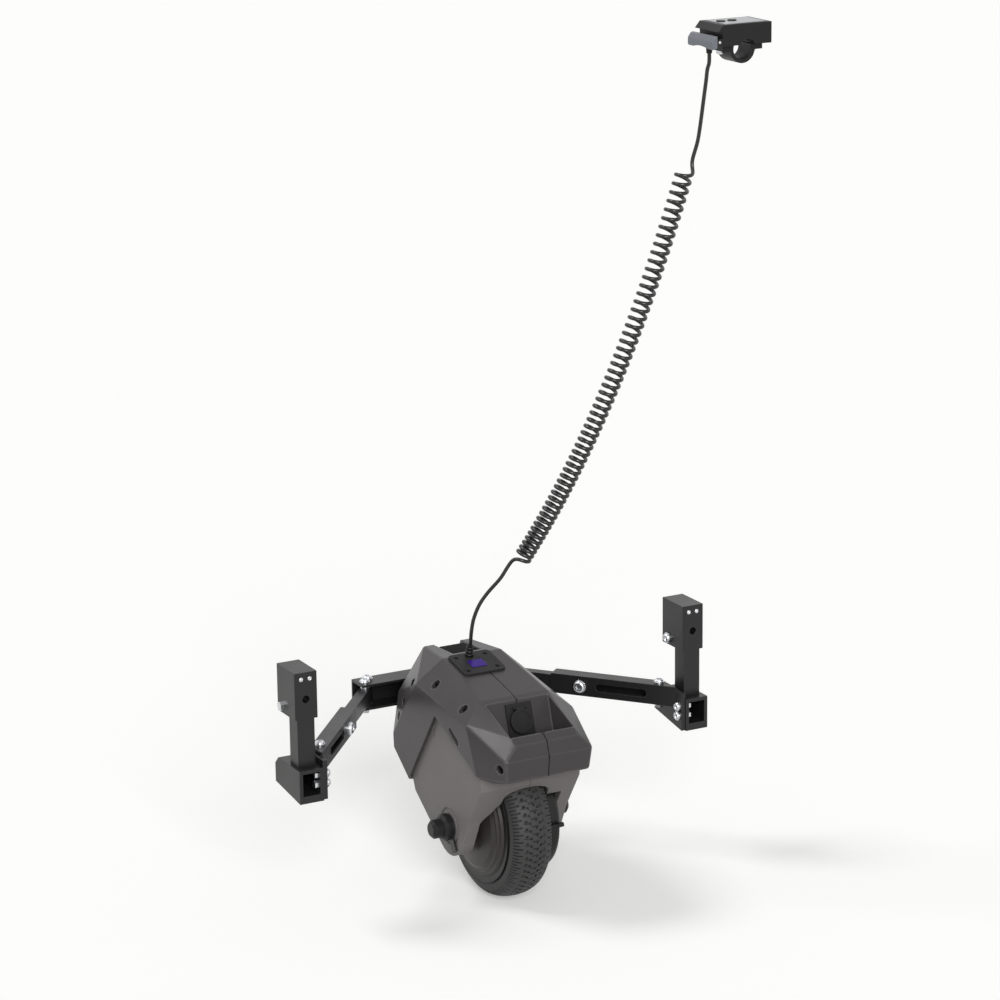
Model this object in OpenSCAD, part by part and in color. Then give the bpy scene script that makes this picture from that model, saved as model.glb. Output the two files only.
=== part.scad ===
// Wheelchair power assist: a hub-motor push aid that hangs under the seat on a crossbar,
// with its two frame hangers, a curly control lead and a hand control for a push handle.
// Millimetres. X to the right, Y forward, Z up. The origin lies midway between the two
// frame bolts of the hangers, straight above the drive wheel's axle.

/* [Drive wheel] */
// Outer radius of the tyre
wheel_r = 88; // [84:1:90]
// Half the width of the tyre
tyre_half_w = 25; // [22:0.5:27]
// Radius on which the tyre sits
rim_r = 62; // [58:1:63]
// Height of the rim flange over the tyre seat
rim_flange = 7; // [4:0.5:9]
// Thickness of one rim flange
rim_flange_t = 4; // [3:0.5:5]
// How far the left hub cover bulges past the rim
hub_bulge = 13; // [9:0.5:14]
// Wall of the hub drum and of the hub covers
hub_wall = 4; // [3:0.5:5]
// Height of the frame bolts above the axle
axle_drop = 182; // [180:1:188]
// Number of lugs around each shoulder of the tyre
lugs = 48; // [40:1:54]

/* [Axle] */
// Radius of the axle inside the motor
axle_r = 7.5; // [6.5:0.25:8]
// Radius of the axle ends in the fork
axle_end_r = 6; // [5:0.25:6]
// Outer radius of the wheel bearings
bearing_r = 16; // [14:0.5:18]
// Width of a wheel bearing
bearing_w = 9; // [7:0.5:10]
// Radius of the flange of an axle cap
cap_flange_r = 15; // [13:0.5:18]
// Radius of the knob of an axle cap
cap_knob_r = 10.5; // [9:0.5:11]
// Length of an axle cap
cap_len = 21; // [18:0.5:26]
// Thickness of a torque washer
washer_t = 2.5; // [2:0.25:3]

/* [Housing] */
// Half the width of the outer covers
cover_half_w = 66; // [65:0.5:70]
// Distance of the rear face of the covers behind the tyre
tail_room = 30; // [28:0.5:32]
// Distance of the nose of the covers ahead of the tyre
nose_room = 54; // [53:0.5:56]
// Height of the box around the outer covers
cover_h = 154; // [152:1:157]
// Height of the top of that box above the axle
cover_up = 179; // [176:0.5:181]
// Wall of the outer covers
cover_wall = 3; // [2.5:0.25:3.25]
// Rounding of the outer covers
cover_round = 4.5; // [4:0.25:5]
// Gap of the seam between the two covers
seam = 0.4; // [0.2:0.1:0.8]
// Outer face of the fork halves
fork_half_w = 61; // [60:0.25:61.5]
// Thickness of a fork leg
leg_t = 15; // [13:0.5:15]
// Radius of the round end of a fork leg
lobe_r = 33; // [30:1:34]
// Room around the tyre under the fork
arch_gap = 3; // [2.5:0.25:4]

/* [Crossbar] */
// Height of the crossbar channel
channel_h = 30; // [29:0.5:32]
// Depth of the crossbar channel
channel_d = 28; // [26:0.5:32]
// Wall of the crossbar channel
channel_wall = 2.5; // [2:0.25:3]
// Length of the crossbar channel
channel_len = 176; // [170:1:190]
// Distance of the docking pin ahead of the axle
pin_ahead = 171; // [169:1:178]
// Height of the docking pin above the axle
pin_up = 106; // [104:1:108]
// Radius of the docking pin
pin_r = 5; // [4:0.25:5.5]
// Width of the docking tongue
tongue_w = 32; // [28:1:34]
// Thickness of the docking tongue
tongue_t = 13; // [10:0.5:14]

/* [Arms] */
// Height of an inner arm bar
bar_h = 17.5; // [16:0.5:19]
// Thickness of an inner arm bar
bar_t = 12; // [10:0.5:13]
// Wall of an arm sleeve
sleeve_wall = 2.8; // [2.4:0.1:3.4]
// Length of an arm sleeve
sleeve_len = 140; // [132:1:148]
// Length of the adjusting slot in an arm sleeve
slot_len = 61; // [40:1:66]
// Height of the adjusting slot
slot_h = 9; // [6:0.5:10]

/* [Hangers] */
// Distance between the left and right frame bolts
hanger_span = 476; // [460:1:510]
// Radius of a frame bolt hole
frame_bolt_r = 4.2; // [3.2:0.1:5.2]
// Width of a frame block
block_w = 26; // [24:0.5:32]
// Depth of a frame block
block_d = 44; // [40:1:52]
// Height of a frame block
block_h = 52; // [46:1:60]
// Side of the square drop tube
tube_w = 20; // [18:0.5:21]
// Wall of the square drop tube
tube_wall = 2; // [1.5:0.25:3]
// Width of a lower bracket
bracket_w = 28; // [26:0.5:32]
// Depth of a lower bracket
bracket_d = 62; // [58:1:70]
// Height of a lower bracket
bracket_h = 37; // [35:0.5:40]
// Wall of a lower bracket
bracket_wall = 4; // [3:0.25:5]
// Thickness of the plate that joins an arm to its bracket
plate_t = 5; // [4:0.25:6]

/* [Hand control] */
// Radius of the push handle tube that the clamp takes
handle_r = 11; // [10:0.25:11.5]
// Width of the hand control
control_w = 62; // [60:1:66]
// Depth of the hand control
control_d = 46; // [44:1:54]
// Height of the base of the hand control
base_h = 15; // [14:0.5:16]
// Height of the lid of the hand control
lid_h = 7; // [6.5:0.25:9]
// Height of the handle tube above the frame bolts
control_up = 666; // [665:1:667]
// Distance of the handle tube to the right of the middle
control_x = 225; // [224:1:226]
// Distance of the hand control's middle behind the axle
control_back = 123; // [122:1:124]
// Length of the thumb lever
lever_len = 49; // [46:1:56]
// Reach of the thumb lever from its hinge
lever_reach = 10; // [9:0.5:14]

/* [Cord] */
// Diameter of the control lead
cord_d = 4.2; // [4:0.1:4.7]
// Outer diameter of the curls
coil_d = 21; // [18:0.5:24]
// Number of curls
curls = 56; // [40:1:57]

/* [Hidden] */
// Facet counts: turned pieces, and rounded corners of the covers
$fn = 64;
hull_fn = 20;
// One overrun for all through cuts
over = 1;
// Clearances: running fit of a shaft, free fit of a bolt, gap between moving faces
run_fit = 0.05;
bolt_fit = 0.2;
free_gap = 0.4;

// Wheel, from the axle outwards
rim_stand = 1;
flange_r = rim_r + rim_flange;
rim_half_w = tyre_half_w + rim_stand;
drum_half_w = rim_half_w - rim_flange_t;
hub_half_w = rim_half_w + hub_bulge;
magnet_t = 4;
air_gap = 0.6;
magnet_r = rim_r - hub_wall - magnet_t;
stator_r = magnet_r - air_gap;
stator_half_w = 14;
stator_slots = 18;
slot_depth_share = 0.42;
slot_w_share = 0.5;
shaft_gap = 0.4;
hub_hole_r = axle_r + shaft_gap;
bearing_race = 3;
bearing_in = hub_half_w - hub_wall - bearing_w;
// Hub cover section: shares of the tyre seat radius and of the bulge
hub_outer_shares = [[0.21, 1], [0.55, 0.9], [0.78, 0.66], [0.86, 0.44],
    [0.89, 0.44], [0.92, 0.24], [0.97, 0.24], [1, 0]];
hub_inner_shares = [[0.93, 0], [0.84, 0], [0.74, 0.36], [0.33, 0.6]];
// The right hub cover is a wider drum: shares of the tyre seat radius and of its own bulge
drum_bulge = 18.5;
drum_outer_shares = [[0.21, 1], [0.93, 1], [1, 0.9], [1.02, 0.75], [1.02, 0]];
drum_inner_shares = [[0.93, 0], [0.93, 0.72], [0.40, 0.72]];

// Tyre valve, on the right rim flange
valve_in = 1.5;
valve_at_r = flange_r - valve_in;
valve_r = 1.9;
valve_cap_r = 2.7;
valve_len = 18;
valve_cap_len = 7;
valve_turn = 86;

// Tyre: crown and tread
tread_steps = 18;
tread_power = 0.62;
bead_share = 0.93;
shoulder_angle = 52;
shoulder_tilt = 36;
shoulder_len = 11;
shoulder_w = 3;
shoulder_depth = 3;
zigzag_share = 0.2;
zigzag_len = 10;
zigzag_w = 2.2;
zigzag_depth = 2;
zigzag_turn = 38;

// Fork and axle, along X
leg_in = fork_half_w - leg_t;
cap_bore_share = 0.5;
axle_half = fork_half_w + washer_t + cap_len * cap_bore_share;
washer_inset = 1;
washer_r = cap_flange_r - washer_inset;
tab_w = 9;
tab_len = 29;
tab_lean = 32;
cap_flange_len = 9;
cap_round = 3;
ring_w = 3;
ring_deep = 1.2;

// Cover frame: shares run from the middle, the rear and the foot of the covers' box
cover_rear = wheel_r + tail_room;
cover_len = cover_rear + wheel_r + nose_room;
cover_top = cover_up - axle_drop;
cover_size = [cover_half_w, cover_len, cover_h];
cover_base = [0, -cover_rear, cover_top - cover_h];
cover_mid_z = cover_top - cover_h / 2;
top_front_share = [0.59, 0.70, 0.957];
top_rear_share = [0.68, 0.296, 0.824];
cover_corner_shares = [top_front_share, top_rear_share,
    [0.62, 0.048, 0.68], [0.63, 0.017, 0.645], [0.82, 0, 0.56], [0.79, 0.008, 0.37],
    [1, 0.24, 0.71], [1, 0.153, 0.345], [1, 0.725, 0.805], [1, 0.845, 0.57], [1, 0.95, 0.265],
    [1, 0.946, 0.17], [1, 0.808, 0], [0.48, 0.92, 0.937], [0.79, 1, 0.595], [0.79, 1, 0.38],
    [0.76, 0.985, 0.20], [0.76, 0.83, 0]];
vee_shares = [[0.808, 0], [0.542, 0.63], [0.105, 0.325], [-0.048, 0.375], [-0.048, -0.2], [0.808, -0.2]];

// Carry grip: a well in the sloping rear of the roof, its front wall leaning forward
well_half_w = 38.5;
well_front_share = 0.285;
well_rear_share = 0.058;
well_floor_share = 0.49;
well_lean = 18;
well_wall = 2.6;

// Docking notch: a slot in the nose, open to the front and the top, in which the tongue lies
pin_drop = axle_drop - pin_up;
notch_gap = 1.5;
notch_half_w = tongue_w / 2 + notch_gap;
notch_room = 18;
notch_rear = wheel_r - notch_room;
notch_floor = -pin_drop - tongue_t / 2 - free_gap;
notch_wall = 2.6;

// Fork outline and slit as shares of the cover box
// Battery tray and controller box from the wheel and the notch
fork_shares = [
    [0.177, 0.44], [0.158, 0.36], [0.167, 0.24], [0.277, -0.04], [0.329, -0.22],
    [0.525, -0.341], [0.63, -0.22], [0.770, -0.058], [0.812, 0.10], [0.887, 0.22], [0.844, 0.47],
    [0.792, 0.60], [0.534, 0.66], [0.315, 0.60], [0.296, 0.44]];
// Room for the wheel inside the fork: shares of the arch radius and of the leg's inner face
tyre_room_shares = [[1, 0.1], [0.985, 0.3], [0.95, 0.47], [0.91, 0.56], [0.86, 0.6], [0.78, 0.61]];
dome_room_shares = [[0.735, 0.66], [0.73, 0.71], [0.67, 0.74], [0.58, 0.88], [0.5, 1]];
drum_room_shares = [[0.8, 0.62], [0.8, 1]];
slit_share = [0.587, 0.476];
slit_w = 2.4;
slit_len = 10;
slit_deep = 3;
tray_wall = 8;
tray_floor = wheel_r + arch_gap + tray_wall - axle_drop;
tray_rear_share = 0.315;
root_wall = 16;
tongue_root = notch_rear - root_wall;
battery_rear_top_share = 0.69;
battery_front_top_share = 0.74;
box_wall = 2;
box_rear = wheel_r + arch_gap + box_wall;
box_d = 6.5;
box_half_w = 44;
box_low_share = 0.16;
box_high_share = 0.40;

// Screw wells in the covers: shares of the cover box, tilt from upright, turn about upright
screw_well_shares = [[0.865, 0.6, 0.825, 70, 0], [0.865, 0.347, 0.765, 70, 0], [0.825, 0.038, 0.475, 90, -20],
    [0.955, 0.788, 0.756, 77, 17], [0.972, 0.862, 0.58, 77, 17], [0.982, 0.898, 0.453, 80, 17]];
screw_well_r = 5.2;
screw_well_deep = 6;
screw_boss_wall = 1.6;
screw_boss_floor = 3;
screw_r = 4.2;
screw_h = 2.4;
oval_share = [0.367, 0.558];
oval_r = 3.6;
oval_len = 18;
oval_lean = -60;
oval_deep = 1.6;

// Top plate with its cable boot and status window
top_plate_w = 51;
top_plate_d = 45;
top_plate_t = 2.4;
top_plate_x = -5.5;
top_plate_along = 76;
top_plate_corner = 5;
top_screw_in = 7.5;
top_screw_r = 2.6;
top_screw_h = 1.6;
window_w = 18;
window_d = 14.5;
window_t = 0.6;
window_x = -6.5;
window_back = 3;
boot_x = -7;
boot_ahead = 15.5;
boot_len = 20;
boot_r = 4.6;
boot_tip_r = 3.3;
boot_foot = 5;
boot_bore = 5;

// Charging socket on the front wall of the well
socket_w = 31;
socket_h = 40;
socket_t = 2.5;
socket_hole_r = 9.5;
socket_up = 27.5;
lid_r = 13.5;
lid_t = 3.4;
lid_dish_r = 10.5;
lid_dish = 0.8;
hinge_r = 1.6;
hinge_wire_r = 0.8;
hinge_half = 5.6;
hinge_lug = 2.4;
hinge_up = 0.9;

// Crossbar along X, with its lugs for the docking pin
channel_half = channel_len / 2;
channel_rear = pin_ahead - channel_d / 2;
channel_bottom = -pin_drop - channel_h / 2;
lug_t = 5;
lug_in = tongue_w / 2 + free_gap;
pin_stub = 3;
pin_half = lug_in + lug_t + pin_stub;
eye_room = 2;
eye_r = channel_h / 2 - channel_wall - eye_room;
bolt_r = 3;
bolt_head_r = 5.2;
bolt_head_h = 3.6;
nut_h = 4.5;

// Arms in plan, from the crossbar bolt to the bracket plate
arm_pivot_in = 15;
arm_pivot_ahead = 4;
arm_pivot = [channel_half - arm_pivot_in, pin_ahead + arm_pivot_ahead];
arm_end_y = -1;
hanger_x = hanger_span / 2;
arm_face_x = hanger_x - bracket_w / 2 - plate_t;
arm_run = [arm_face_x, arm_end_y] - arm_pivot;
arm_yaw = atan2(arm_run.y, arm_run.x);
arm_len = norm(arm_run);
sleeve_h = bar_h + 2 * sleeve_wall + 2 * run_fit;
sleeve_t = bar_t + 2 * sleeve_wall + 2 * run_fit;
sleeve_from = arm_len - sleeve_len;
lock_bolt_step = 12;
spacer_r = 5;
spacer_h = (channel_h - bar_h) / 2 - channel_wall;
end_bolt_in = 13;
bar_overlap = 48;
dome_step = 35.5;
dome_at = sleeve_from + dome_step;
dome_r = 6.5;
dome_cap_r = 5;
dome_h = 4;
slot_step = 54;
slot_at = sleeve_from + slot_step;

// Hangers: frame block, drop tube and lower bracket
block_back = 19;
block_bottom = -22;
tube_y = -7;
tube_into_block = 14;
bracket_back = 28;
bracket_top = -pin_drop;
bracket_rise = 8;
plate_shares = [[0.02, 0.02], [0.98, 0.30], [0.98, 1.2], [0.02, 1.2]];
bracket_bolt_step = 11;
bracket_bolt_low = 8.8;
bracket_head_r = 4.6;
bracket_head_gap = 1.2;
bracket_bolt_y = arm_end_y - sleeve_t / 2 / cos(arm_yaw) - bracket_head_r - bracket_head_gap;
block_bolt_y = 12;
block_bolt_z = -14;
set_screw_r = 2.4;
set_screw_len = 8;
set_screw_step = 10;
set_screw_z = 22.5;

// Hand control, measured from the handle tube's axis
control_left = 33;
control_right = control_w - control_left;
base_z = 5.5;
base_step = 3;
base_left = control_left - base_step;
lid_z = base_z + base_h;
lid_top = lid_z + lid_h;
lid_flare = 3;
lid_bevel = 6;
lid_wall = 2.2;
board_t = 1.6;
board_in = 4;
key_r = 4.6;
key_flange = 1.6;
key_flange_t = 1;
key_rise = 1.2;
key_seat_gap = 0.1;
key_x_shares = [-0.30, -0.08];
panel_t = 0.6;
panel_in = 5;
lever_out = 0.5;
lever_up = 4.5;
lever_axis_x = -control_left - lever_out;
lever_axis_z = base_z + lever_up;
lever_barrel_r = 3;
lever_pin_r = 1.5;
ear_t = 2.5;
ear_r = 3.4;
lever_gap = 0.6;
wing_from = ear_r + lever_gap;
barrel_half = control_d / 2 - ear_t - lever_gap;
lever_h = 16;
wing_shares = [[0, 0.42], [0.45, 0.36], [0.92, 0.12], [1, 0.02], [1, -0.34],
    [0.85, -0.44], [0.5, -0.42], [0, -0.34]];
lever_arc_r = 56;
lever_arc_deep = 3;
strap_t = 4;
strap_ear = 9;
strap_ear_t = 6;
strap_gap = 1;
strap_d = 26;
strap_screw_r = 2;
strap_screw_into = 8;
strap_head_r = 3.6;
strap_head_h = 3.2;
strap_screw_x = handle_r + strap_t + strap_ear / 2;
gland_r = 4;
gland_tip_r = 3;
gland_len = 12;
gland_bore = 4;
gland_in_x = 8;
gland_in_y = 6;

// Cord route points, chosen by hand along the lead
coil_low = [40, 12, 107];
coil_pull = [124, -43, 268];
coil_high = [184, -88, 532];
lower_route = [[-7, 49, 4], [-7, 47, 12], [-7, 45, 22], [-5, 43, 36], [0, 39, 52], [8, 34, 66],
    [17, 28, 80], [28, 20, 92], [35, 15, 100], [40, 12, 107]];
upper_route = [[184, -88, 532], [187, -90, 540], [191, -92, 550], [193, -94, 564], [194, -95, 580],
    [195, -96, 598], [197, -98, 616], [200, -101, 632], [202, -104, 642], [203, -106, 650], [203, -106, 662]];
// Direction that the first ring of a tube starts from
first_side = [0.3, 1, 0.1];
curl_rings = 8;
curl_sides = 6;
lead_sides = 8;
curl_pack = 0.14;
ease_curls = 0.7;
newton_steps = 5;

// Helpers: outlines in the YZ and XZ planes, rods, boxes, turned pieces about X, mirrored pairs

module along_x(from, to)
    translate([from, 0, 0]) rotate([90, 0, 90]) linear_extrude(height = to - from) children();

module along_y(from, to)
    translate([0, to, 0]) rotate([90, 0, 0]) linear_extrude(height = to - from) children();

module turned_x() rotate([0, 90, 0]) rotate_extrude() children();

module rod_x(r, from, to) translate([from, 0, 0]) rotate([0, 90, 0]) cylinder(r = r, h = to - from);

module rod_y(r, from, to) translate([0, to, 0]) rotate([90, 0, 0]) cylinder(r = r, h = to - from);

module box_of(x, y, z) translate([x[0], y[0], z[0]]) cube([x[1] - x[0], y[1] - y[0], z[1] - z[0]]);

module hex_nut(r, h) cylinder(r = r, h = h, $fn = 6);

module left_of() mirror([1, 0, 0]) children();

module both_sides() for (side = [0, 1]) mirror([side, 0, 0]) children();

module at_wheel() translate([0, 0, -axle_drop]) children();

// Drive wheel

// Tyre section: a rounded crown on upright sides, as one formula in the angle across the tread
function crown(angle) = [
    flange_r + (wheel_r - flange_r) * pow(cos(angle), tread_power),
    tyre_half_w * sin(angle)];

module tyre_body() turned_x() polygon(concat(
    [[rim_r, drum_half_w], [flange_r, drum_half_w], [flange_r, tyre_half_w * bead_share]],
    [for (i = [1 : tread_steps - 1]) crown(90 - i * 180 / tread_steps)],
    [[flange_r, -tyre_half_w * bead_share], [flange_r, -drum_half_w], [rim_r, -drum_half_w]]));

module shoulder_slot(side) let (place = crown(side * shoulder_angle)) translate([place[1], 0, place[0]])
    rotate([0, side * shoulder_tilt, 0])
        cube([shoulder_len, shoulder_w, 2 * shoulder_depth], center = true);

module zigzag_slot(side) translate([side * tyre_half_w * zigzag_share, 0, wheel_r])
    rotate([0, 0, side * zigzag_turn])
        cube([zigzag_len, zigzag_w, 2 * zigzag_depth], center = true);

module tyre() color("#26262a") at_wheel() difference() {
    tyre_body();
    for (i = [0 : lugs - 1], side = [-1, 1]) rotate([(i + side / 4) * 360 / lugs, 0, 0]) {
        shoulder_slot(side);
        zigzag_slot(side);
    }
}

module hub_drum() color("#3a3a3c") at_wheel() turned_x() {
    translate([rim_r - hub_wall, -drum_half_w]) square([hub_wall, 2 * drum_half_w]);
    translate([magnet_r, -stator_half_w]) square([magnet_t, 2 * stator_half_w]);
    for (x = [-rim_half_w, drum_half_w])
        translate([rim_r - hub_wall, x]) square([rim_flange + hub_wall, rim_flange_t]);
}

// Hub covers: a stepped dome on the left, a drum on the right, each with a seat for its bearing
function hub_points(shares, bulge) = [for (s = shares) [s[0] * rim_r, rim_half_w + s[1] * bulge]];

module hub_cover_half(outer_shares, inner_shares, bulge) at_wheel() turned_x() difference() {
    polygon(concat(
        [[hub_hole_r, rim_half_w + bulge]], hub_points(outer_shares, bulge), hub_points(inner_shares, bulge),
        [[bearing_r + hub_wall, bearing_in], [hub_hole_r, bearing_in]]));
    translate([0, bearing_in - over]) square([bearing_r, bearing_w + over]);
}

module right_hub_cover() color("#38383a") hub_cover_half(drum_outer_shares, drum_inner_shares, drum_bulge);

module left_hub_cover() color("#38383a") left_of()
    hub_cover_half(hub_outer_shares, hub_inner_shares, hub_bulge);

module tyre_valve() color("#1c1c1e") at_wheel() rotate([valve_turn, 0, 0])
    translate([rim_half_w, 0, valve_at_r]) {
    rod_x(valve_r, 0, valve_len);
    rod_x(valve_cap_r, valve_len - valve_cap_len, valve_len);
}

module wheel_bearings() color("#c8c8cc") both_sides() at_wheel() turned_x() difference() {
    translate([axle_r + run_fit, bearing_in]) square([bearing_r - axle_r - run_fit, bearing_w]);
    translate([axle_r + bearing_race, bearing_in - over])
        square([bearing_r - axle_r - 2 * bearing_race, 2 * over]);
}

module axle() color("#b4b4b8") at_wheel() {
    rod_x(axle_r, -leg_in, leg_in);
    rod_x(axle_end_r, -axle_half, axle_half);
}

module stator() color("#a8642c") at_wheel() difference() {
    rod_x(stator_r, -stator_half_w, stator_half_w);
    rod_x(axle_r + run_fit, -stator_half_w - over, stator_half_w + over);
    for (i = [0 : stator_slots - 1]) rotate([i * 360 / stator_slots, 0, 0])
        translate([0, 0, stator_r])
            cube([2 * stator_half_w + 2 * over, stator_r * 2 * sin(180 / stator_slots) * slot_w_share,
                2 * stator_r * slot_depth_share], center = true);
}

// Torque washer with the tongue that keys it to the leg
module torque_washer_half() at_wheel() difference() {
    union() {
        rod_x(washer_r, fork_half_w, fork_half_w + washer_t);
        rotate([-tab_lean, 0, 0])
            box_of([fork_half_w, fork_half_w + washer_t], [-tab_w / 2, tab_w / 2], [-tab_len, 0]);
    }
    rod_x(axle_end_r + bolt_fit, fork_half_w - over, fork_half_w + washer_t + over);
}

module right_torque_washer() color("#202022") torque_washer_half();

module left_torque_washer() color("#202022") left_of() torque_washer_half();

module axle_cap_half() at_wheel() difference() {
    translate([fork_half_w + washer_t, 0, 0]) turned_x() polygon([
        [0, 0], [cap_flange_r, 0], [cap_flange_r, cap_flange_len - cap_round],
        [cap_flange_r - cap_round, cap_flange_len], [cap_knob_r, cap_flange_len],
        [cap_knob_r, cap_len - cap_round], [cap_knob_r - cap_round, cap_len], [0, cap_len]]);
    rod_x(axle_end_r + bolt_fit, fork_half_w - over, axle_half + bolt_fit);
}

module right_axle_cap() color("#1c1c1e") axle_cap_half();

module left_axle_cap() color("#1c1c1e") left_of() axle_cap_half();

// Places in the cover box

function cover_yz(shares) =
    [for (s = shares) [cover_base.y + s[0] * cover_size.y, cover_base.z + s[1] * cover_size.z]];

function cover_point(s) =
    [s[0] * cover_size.x, cover_base.y + s[1] * cover_size.y, cover_base.z + s[2] * cover_size.z];

// Centre of the rounding ball of a corner, drawn in towards the middle of the covers
function ball_centre(s) = let (p = cover_point(s)) [
    p.x - cover_round,
    p.y + (p.y < 0 ? cover_round : -cover_round),
    p.z + (p.z < cover_mid_z ? cover_round : -cover_round)];

// Fork: two moulded halves with a leg each, joined over the wheel

tray_rear = cover_base.y + tray_rear_share * cover_size.y;
box_heights = [cover_base.z + box_low_share * cover_size.z, cover_base.z + box_high_share * cover_size.z];
slit_place = cover_yz([slit_share])[0];

function room_points(shares) = [for (s = shares) [s[0] * (wheel_r + arch_gap), s[1] * leg_in]];

module fork_half(hub_room_shares) difference() {
    union() {
        along_x(seam / 2, fork_half_w) polygon(cover_yz(fork_shares));
        at_wheel() rod_x(lobe_r, seam / 2, fork_half_w);
    }
    box_of([-over, fork_half_w - tray_wall], [tray_rear, tongue_root], [tray_floor, cover_top]);
    box_of([-over, box_half_w], [box_rear, box_rear + box_d], box_heights);
    box_of([-over, notch_half_w + notch_wall], [notch_rear - notch_wall, cover_len],
        [notch_floor - notch_wall, cover_top]);
    translate([fork_half_w, slit_place.x, slit_place.y])
        cube([2 * slit_deep, slit_w, slit_len], center = true);
    at_wheel() turned_x() polygon(concat([[0, -over], [wheel_r + arch_gap, -over]],
        room_points(tyre_room_shares), room_points(hub_room_shares), [[0, leg_in]]));
    at_wheel() rod_x(axle_end_r + bolt_fit, leg_in - over, fork_half_w + over);
    at_wheel() turned_x() translate([cap_flange_r + ring_w, fork_half_w - ring_deep])
        square([ring_w, ring_deep + over]);
    along_x(-tongue_w / 2, tongue_w / 2) tongue_outline();
}

module right_fork() color("#7d7d80") fork_half(drum_room_shares);

module left_fork() color("#7d7d80") left_of() fork_half(dome_room_shares);

// Covers: one rounded hollow form cut into two halves on the middle plane

module cover_form(round) hull() both_sides() for (s = cover_corner_shares)
    translate(ball_centre(s)) sphere(r = round, $fn = hull_fn);

// Outline of the well in the middle plane
well_corners = cover_yz([[well_rear_share, well_floor_share], [well_front_share, top_rear_share.z]]);
well_floor = well_corners[0].y;
well_rear = well_corners[0].x;
well_front = well_corners[1].x - (well_corners[1].y - well_floor) * tan(well_lean);

module well_outline(grow) polygon([
    [well_rear - grow, well_floor - grow], [well_front + grow, well_floor - grow],
    [well_front + (cover_top - well_floor) * tan(well_lean) + grow, cover_top],
    [well_rear - grow, cover_top]]);

module at_cover_screws() for (s = screw_well_shares)
    translate(cover_point(s)) rotate([0, s[3], s[4]]) children();

module cover_half() difference() {
    union() {
        difference() {
            cover_form(cover_round);
            cover_form(cover_round - cover_wall);
        }
        intersection() {
            cover_form(cover_round - cover_wall / 2);
            union() {
                along_x(-well_half_w - well_wall, well_half_w + well_wall) well_outline(well_wall);
                notch_form(notch_wall);
                at_cover_screws() translate([0, 0, -screw_well_deep - screw_boss_floor])
                    cylinder(r = screw_well_r + screw_boss_wall, h = screw_well_deep + screw_boss_floor);
            }
        }
    }
    along_x(-well_half_w, well_half_w) well_outline(0);
    box_of([-2 * cover_half_w, seam / 2], [-cover_len, cover_len], [-2 * cover_h, cover_h]);
    along_x(-over, 2 * cover_half_w) polygon(cover_yz(vee_shares));
    at_cover_screws() translate([0, 0, -screw_well_deep]) cylinder(r = screw_well_r, h = 2 * screw_well_deep);
    along_x(cover_half_w - oval_deep, cover_half_w + over) oval_outline();
    notch_form(0);
    along_x(-tongue_w / 2 - free_gap, tongue_w / 2 + free_gap) tongue_outline();
}

module notch_form(grow) box_of([-notch_half_w - grow, notch_half_w + grow],
    [notch_rear - grow, cover_len], [notch_floor - grow, cover_top]);

module oval_outline() translate(cover_yz([oval_share])[0]) rotate(oval_lean) {
    square([2 * oval_r, oval_len], center = true);
    for (end = [-oval_len / 2, oval_len / 2]) translate([0, end]) circle(r = oval_r);
}

module right_cover() color("#5b5c5f") cover_half();

module left_cover() color("#5b5c5f") left_of() cover_half();

module cover_screws() color("#1a1a1c") both_sides() at_cover_screws()
    translate([0, 0, -screw_well_deep]) cylinder(r = screw_r, h = screw_h);

// Top plate, its screws, status window and the boot of the control lead, on the sloping top face

top_rear_ball = ball_centre(top_rear_share);
top_rise = ball_centre(top_front_share) - top_rear_ball;
top_slope = atan2(top_rise.z, top_rise.y);

module on_top(x, back) translate([0, top_rear_ball.y, top_rear_ball.z]) rotate([top_slope, 0, 0])
    translate([x, top_plate_along - back, cover_round]) children();

module at_top_corners(inset) for (x = [-1, 1], y = [-1, 1])
    translate([x * (top_plate_w / 2 - inset), y * (top_plate_d / 2 - inset), 0]) children();

module top_plate() color("#66676a") on_top(top_plate_x, 0) difference() {
    union() {
        box_of([top_plate_corner - top_plate_w / 2, top_plate_w / 2 - top_plate_corner],
            [-top_plate_d / 2, top_plate_d / 2], [0, top_plate_t]);
        box_of([-top_plate_w / 2, top_plate_w / 2],
            [top_plate_corner - top_plate_d / 2, top_plate_d / 2 - top_plate_corner], [0, top_plate_t]);
        at_top_corners(top_plate_corner) cylinder(r = top_plate_corner, h = top_plate_t);
    }
    at_top_corners(top_screw_in) translate([0, 0, -over])
        cylinder(r = top_screw_r + run_fit, h = top_plate_t + 2 * over);
    translate([boot_x - top_plate_x, boot_ahead, -over])
        cylinder(r = boot_r + bolt_fit, h = top_plate_t + 2 * over);
}

module plate_screws() color("#2a2a2c") on_top(top_plate_x, 0) at_top_corners(top_screw_in)
    cylinder(r = top_screw_r, h = top_screw_h);

module status_window() color("#5a3a8c") on_top(window_x, window_back)
    box_of([-window_w / 2, window_w / 2], [-window_d / 2, window_d / 2],
        [top_plate_t, top_plate_t + window_t]);

module cable_boot() color("#161618") on_top(boot_x, -boot_ahead) difference() {
    union() {
        cylinder(r = boot_r, h = boot_foot);
        translate([0, 0, boot_foot]) cylinder(r1 = boot_r, r2 = boot_tip_r, h = boot_len - boot_foot);
    }
    translate([0, 0, boot_len - boot_bore]) cylinder(r = cord_d / 2 + bolt_fit, h = boot_bore + over);
}

// Charging socket with its hinged lid, on the leaning front wall of the well

module on_well_wall() translate([0, well_front, well_floor]) rotate([-well_lean, 0, 0])
    translate([0, 0, socket_up]) children();

module at_lid_hinge() translate([0, -socket_t - free_gap - hinge_r, lid_r + hinge_up]) children();

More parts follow.
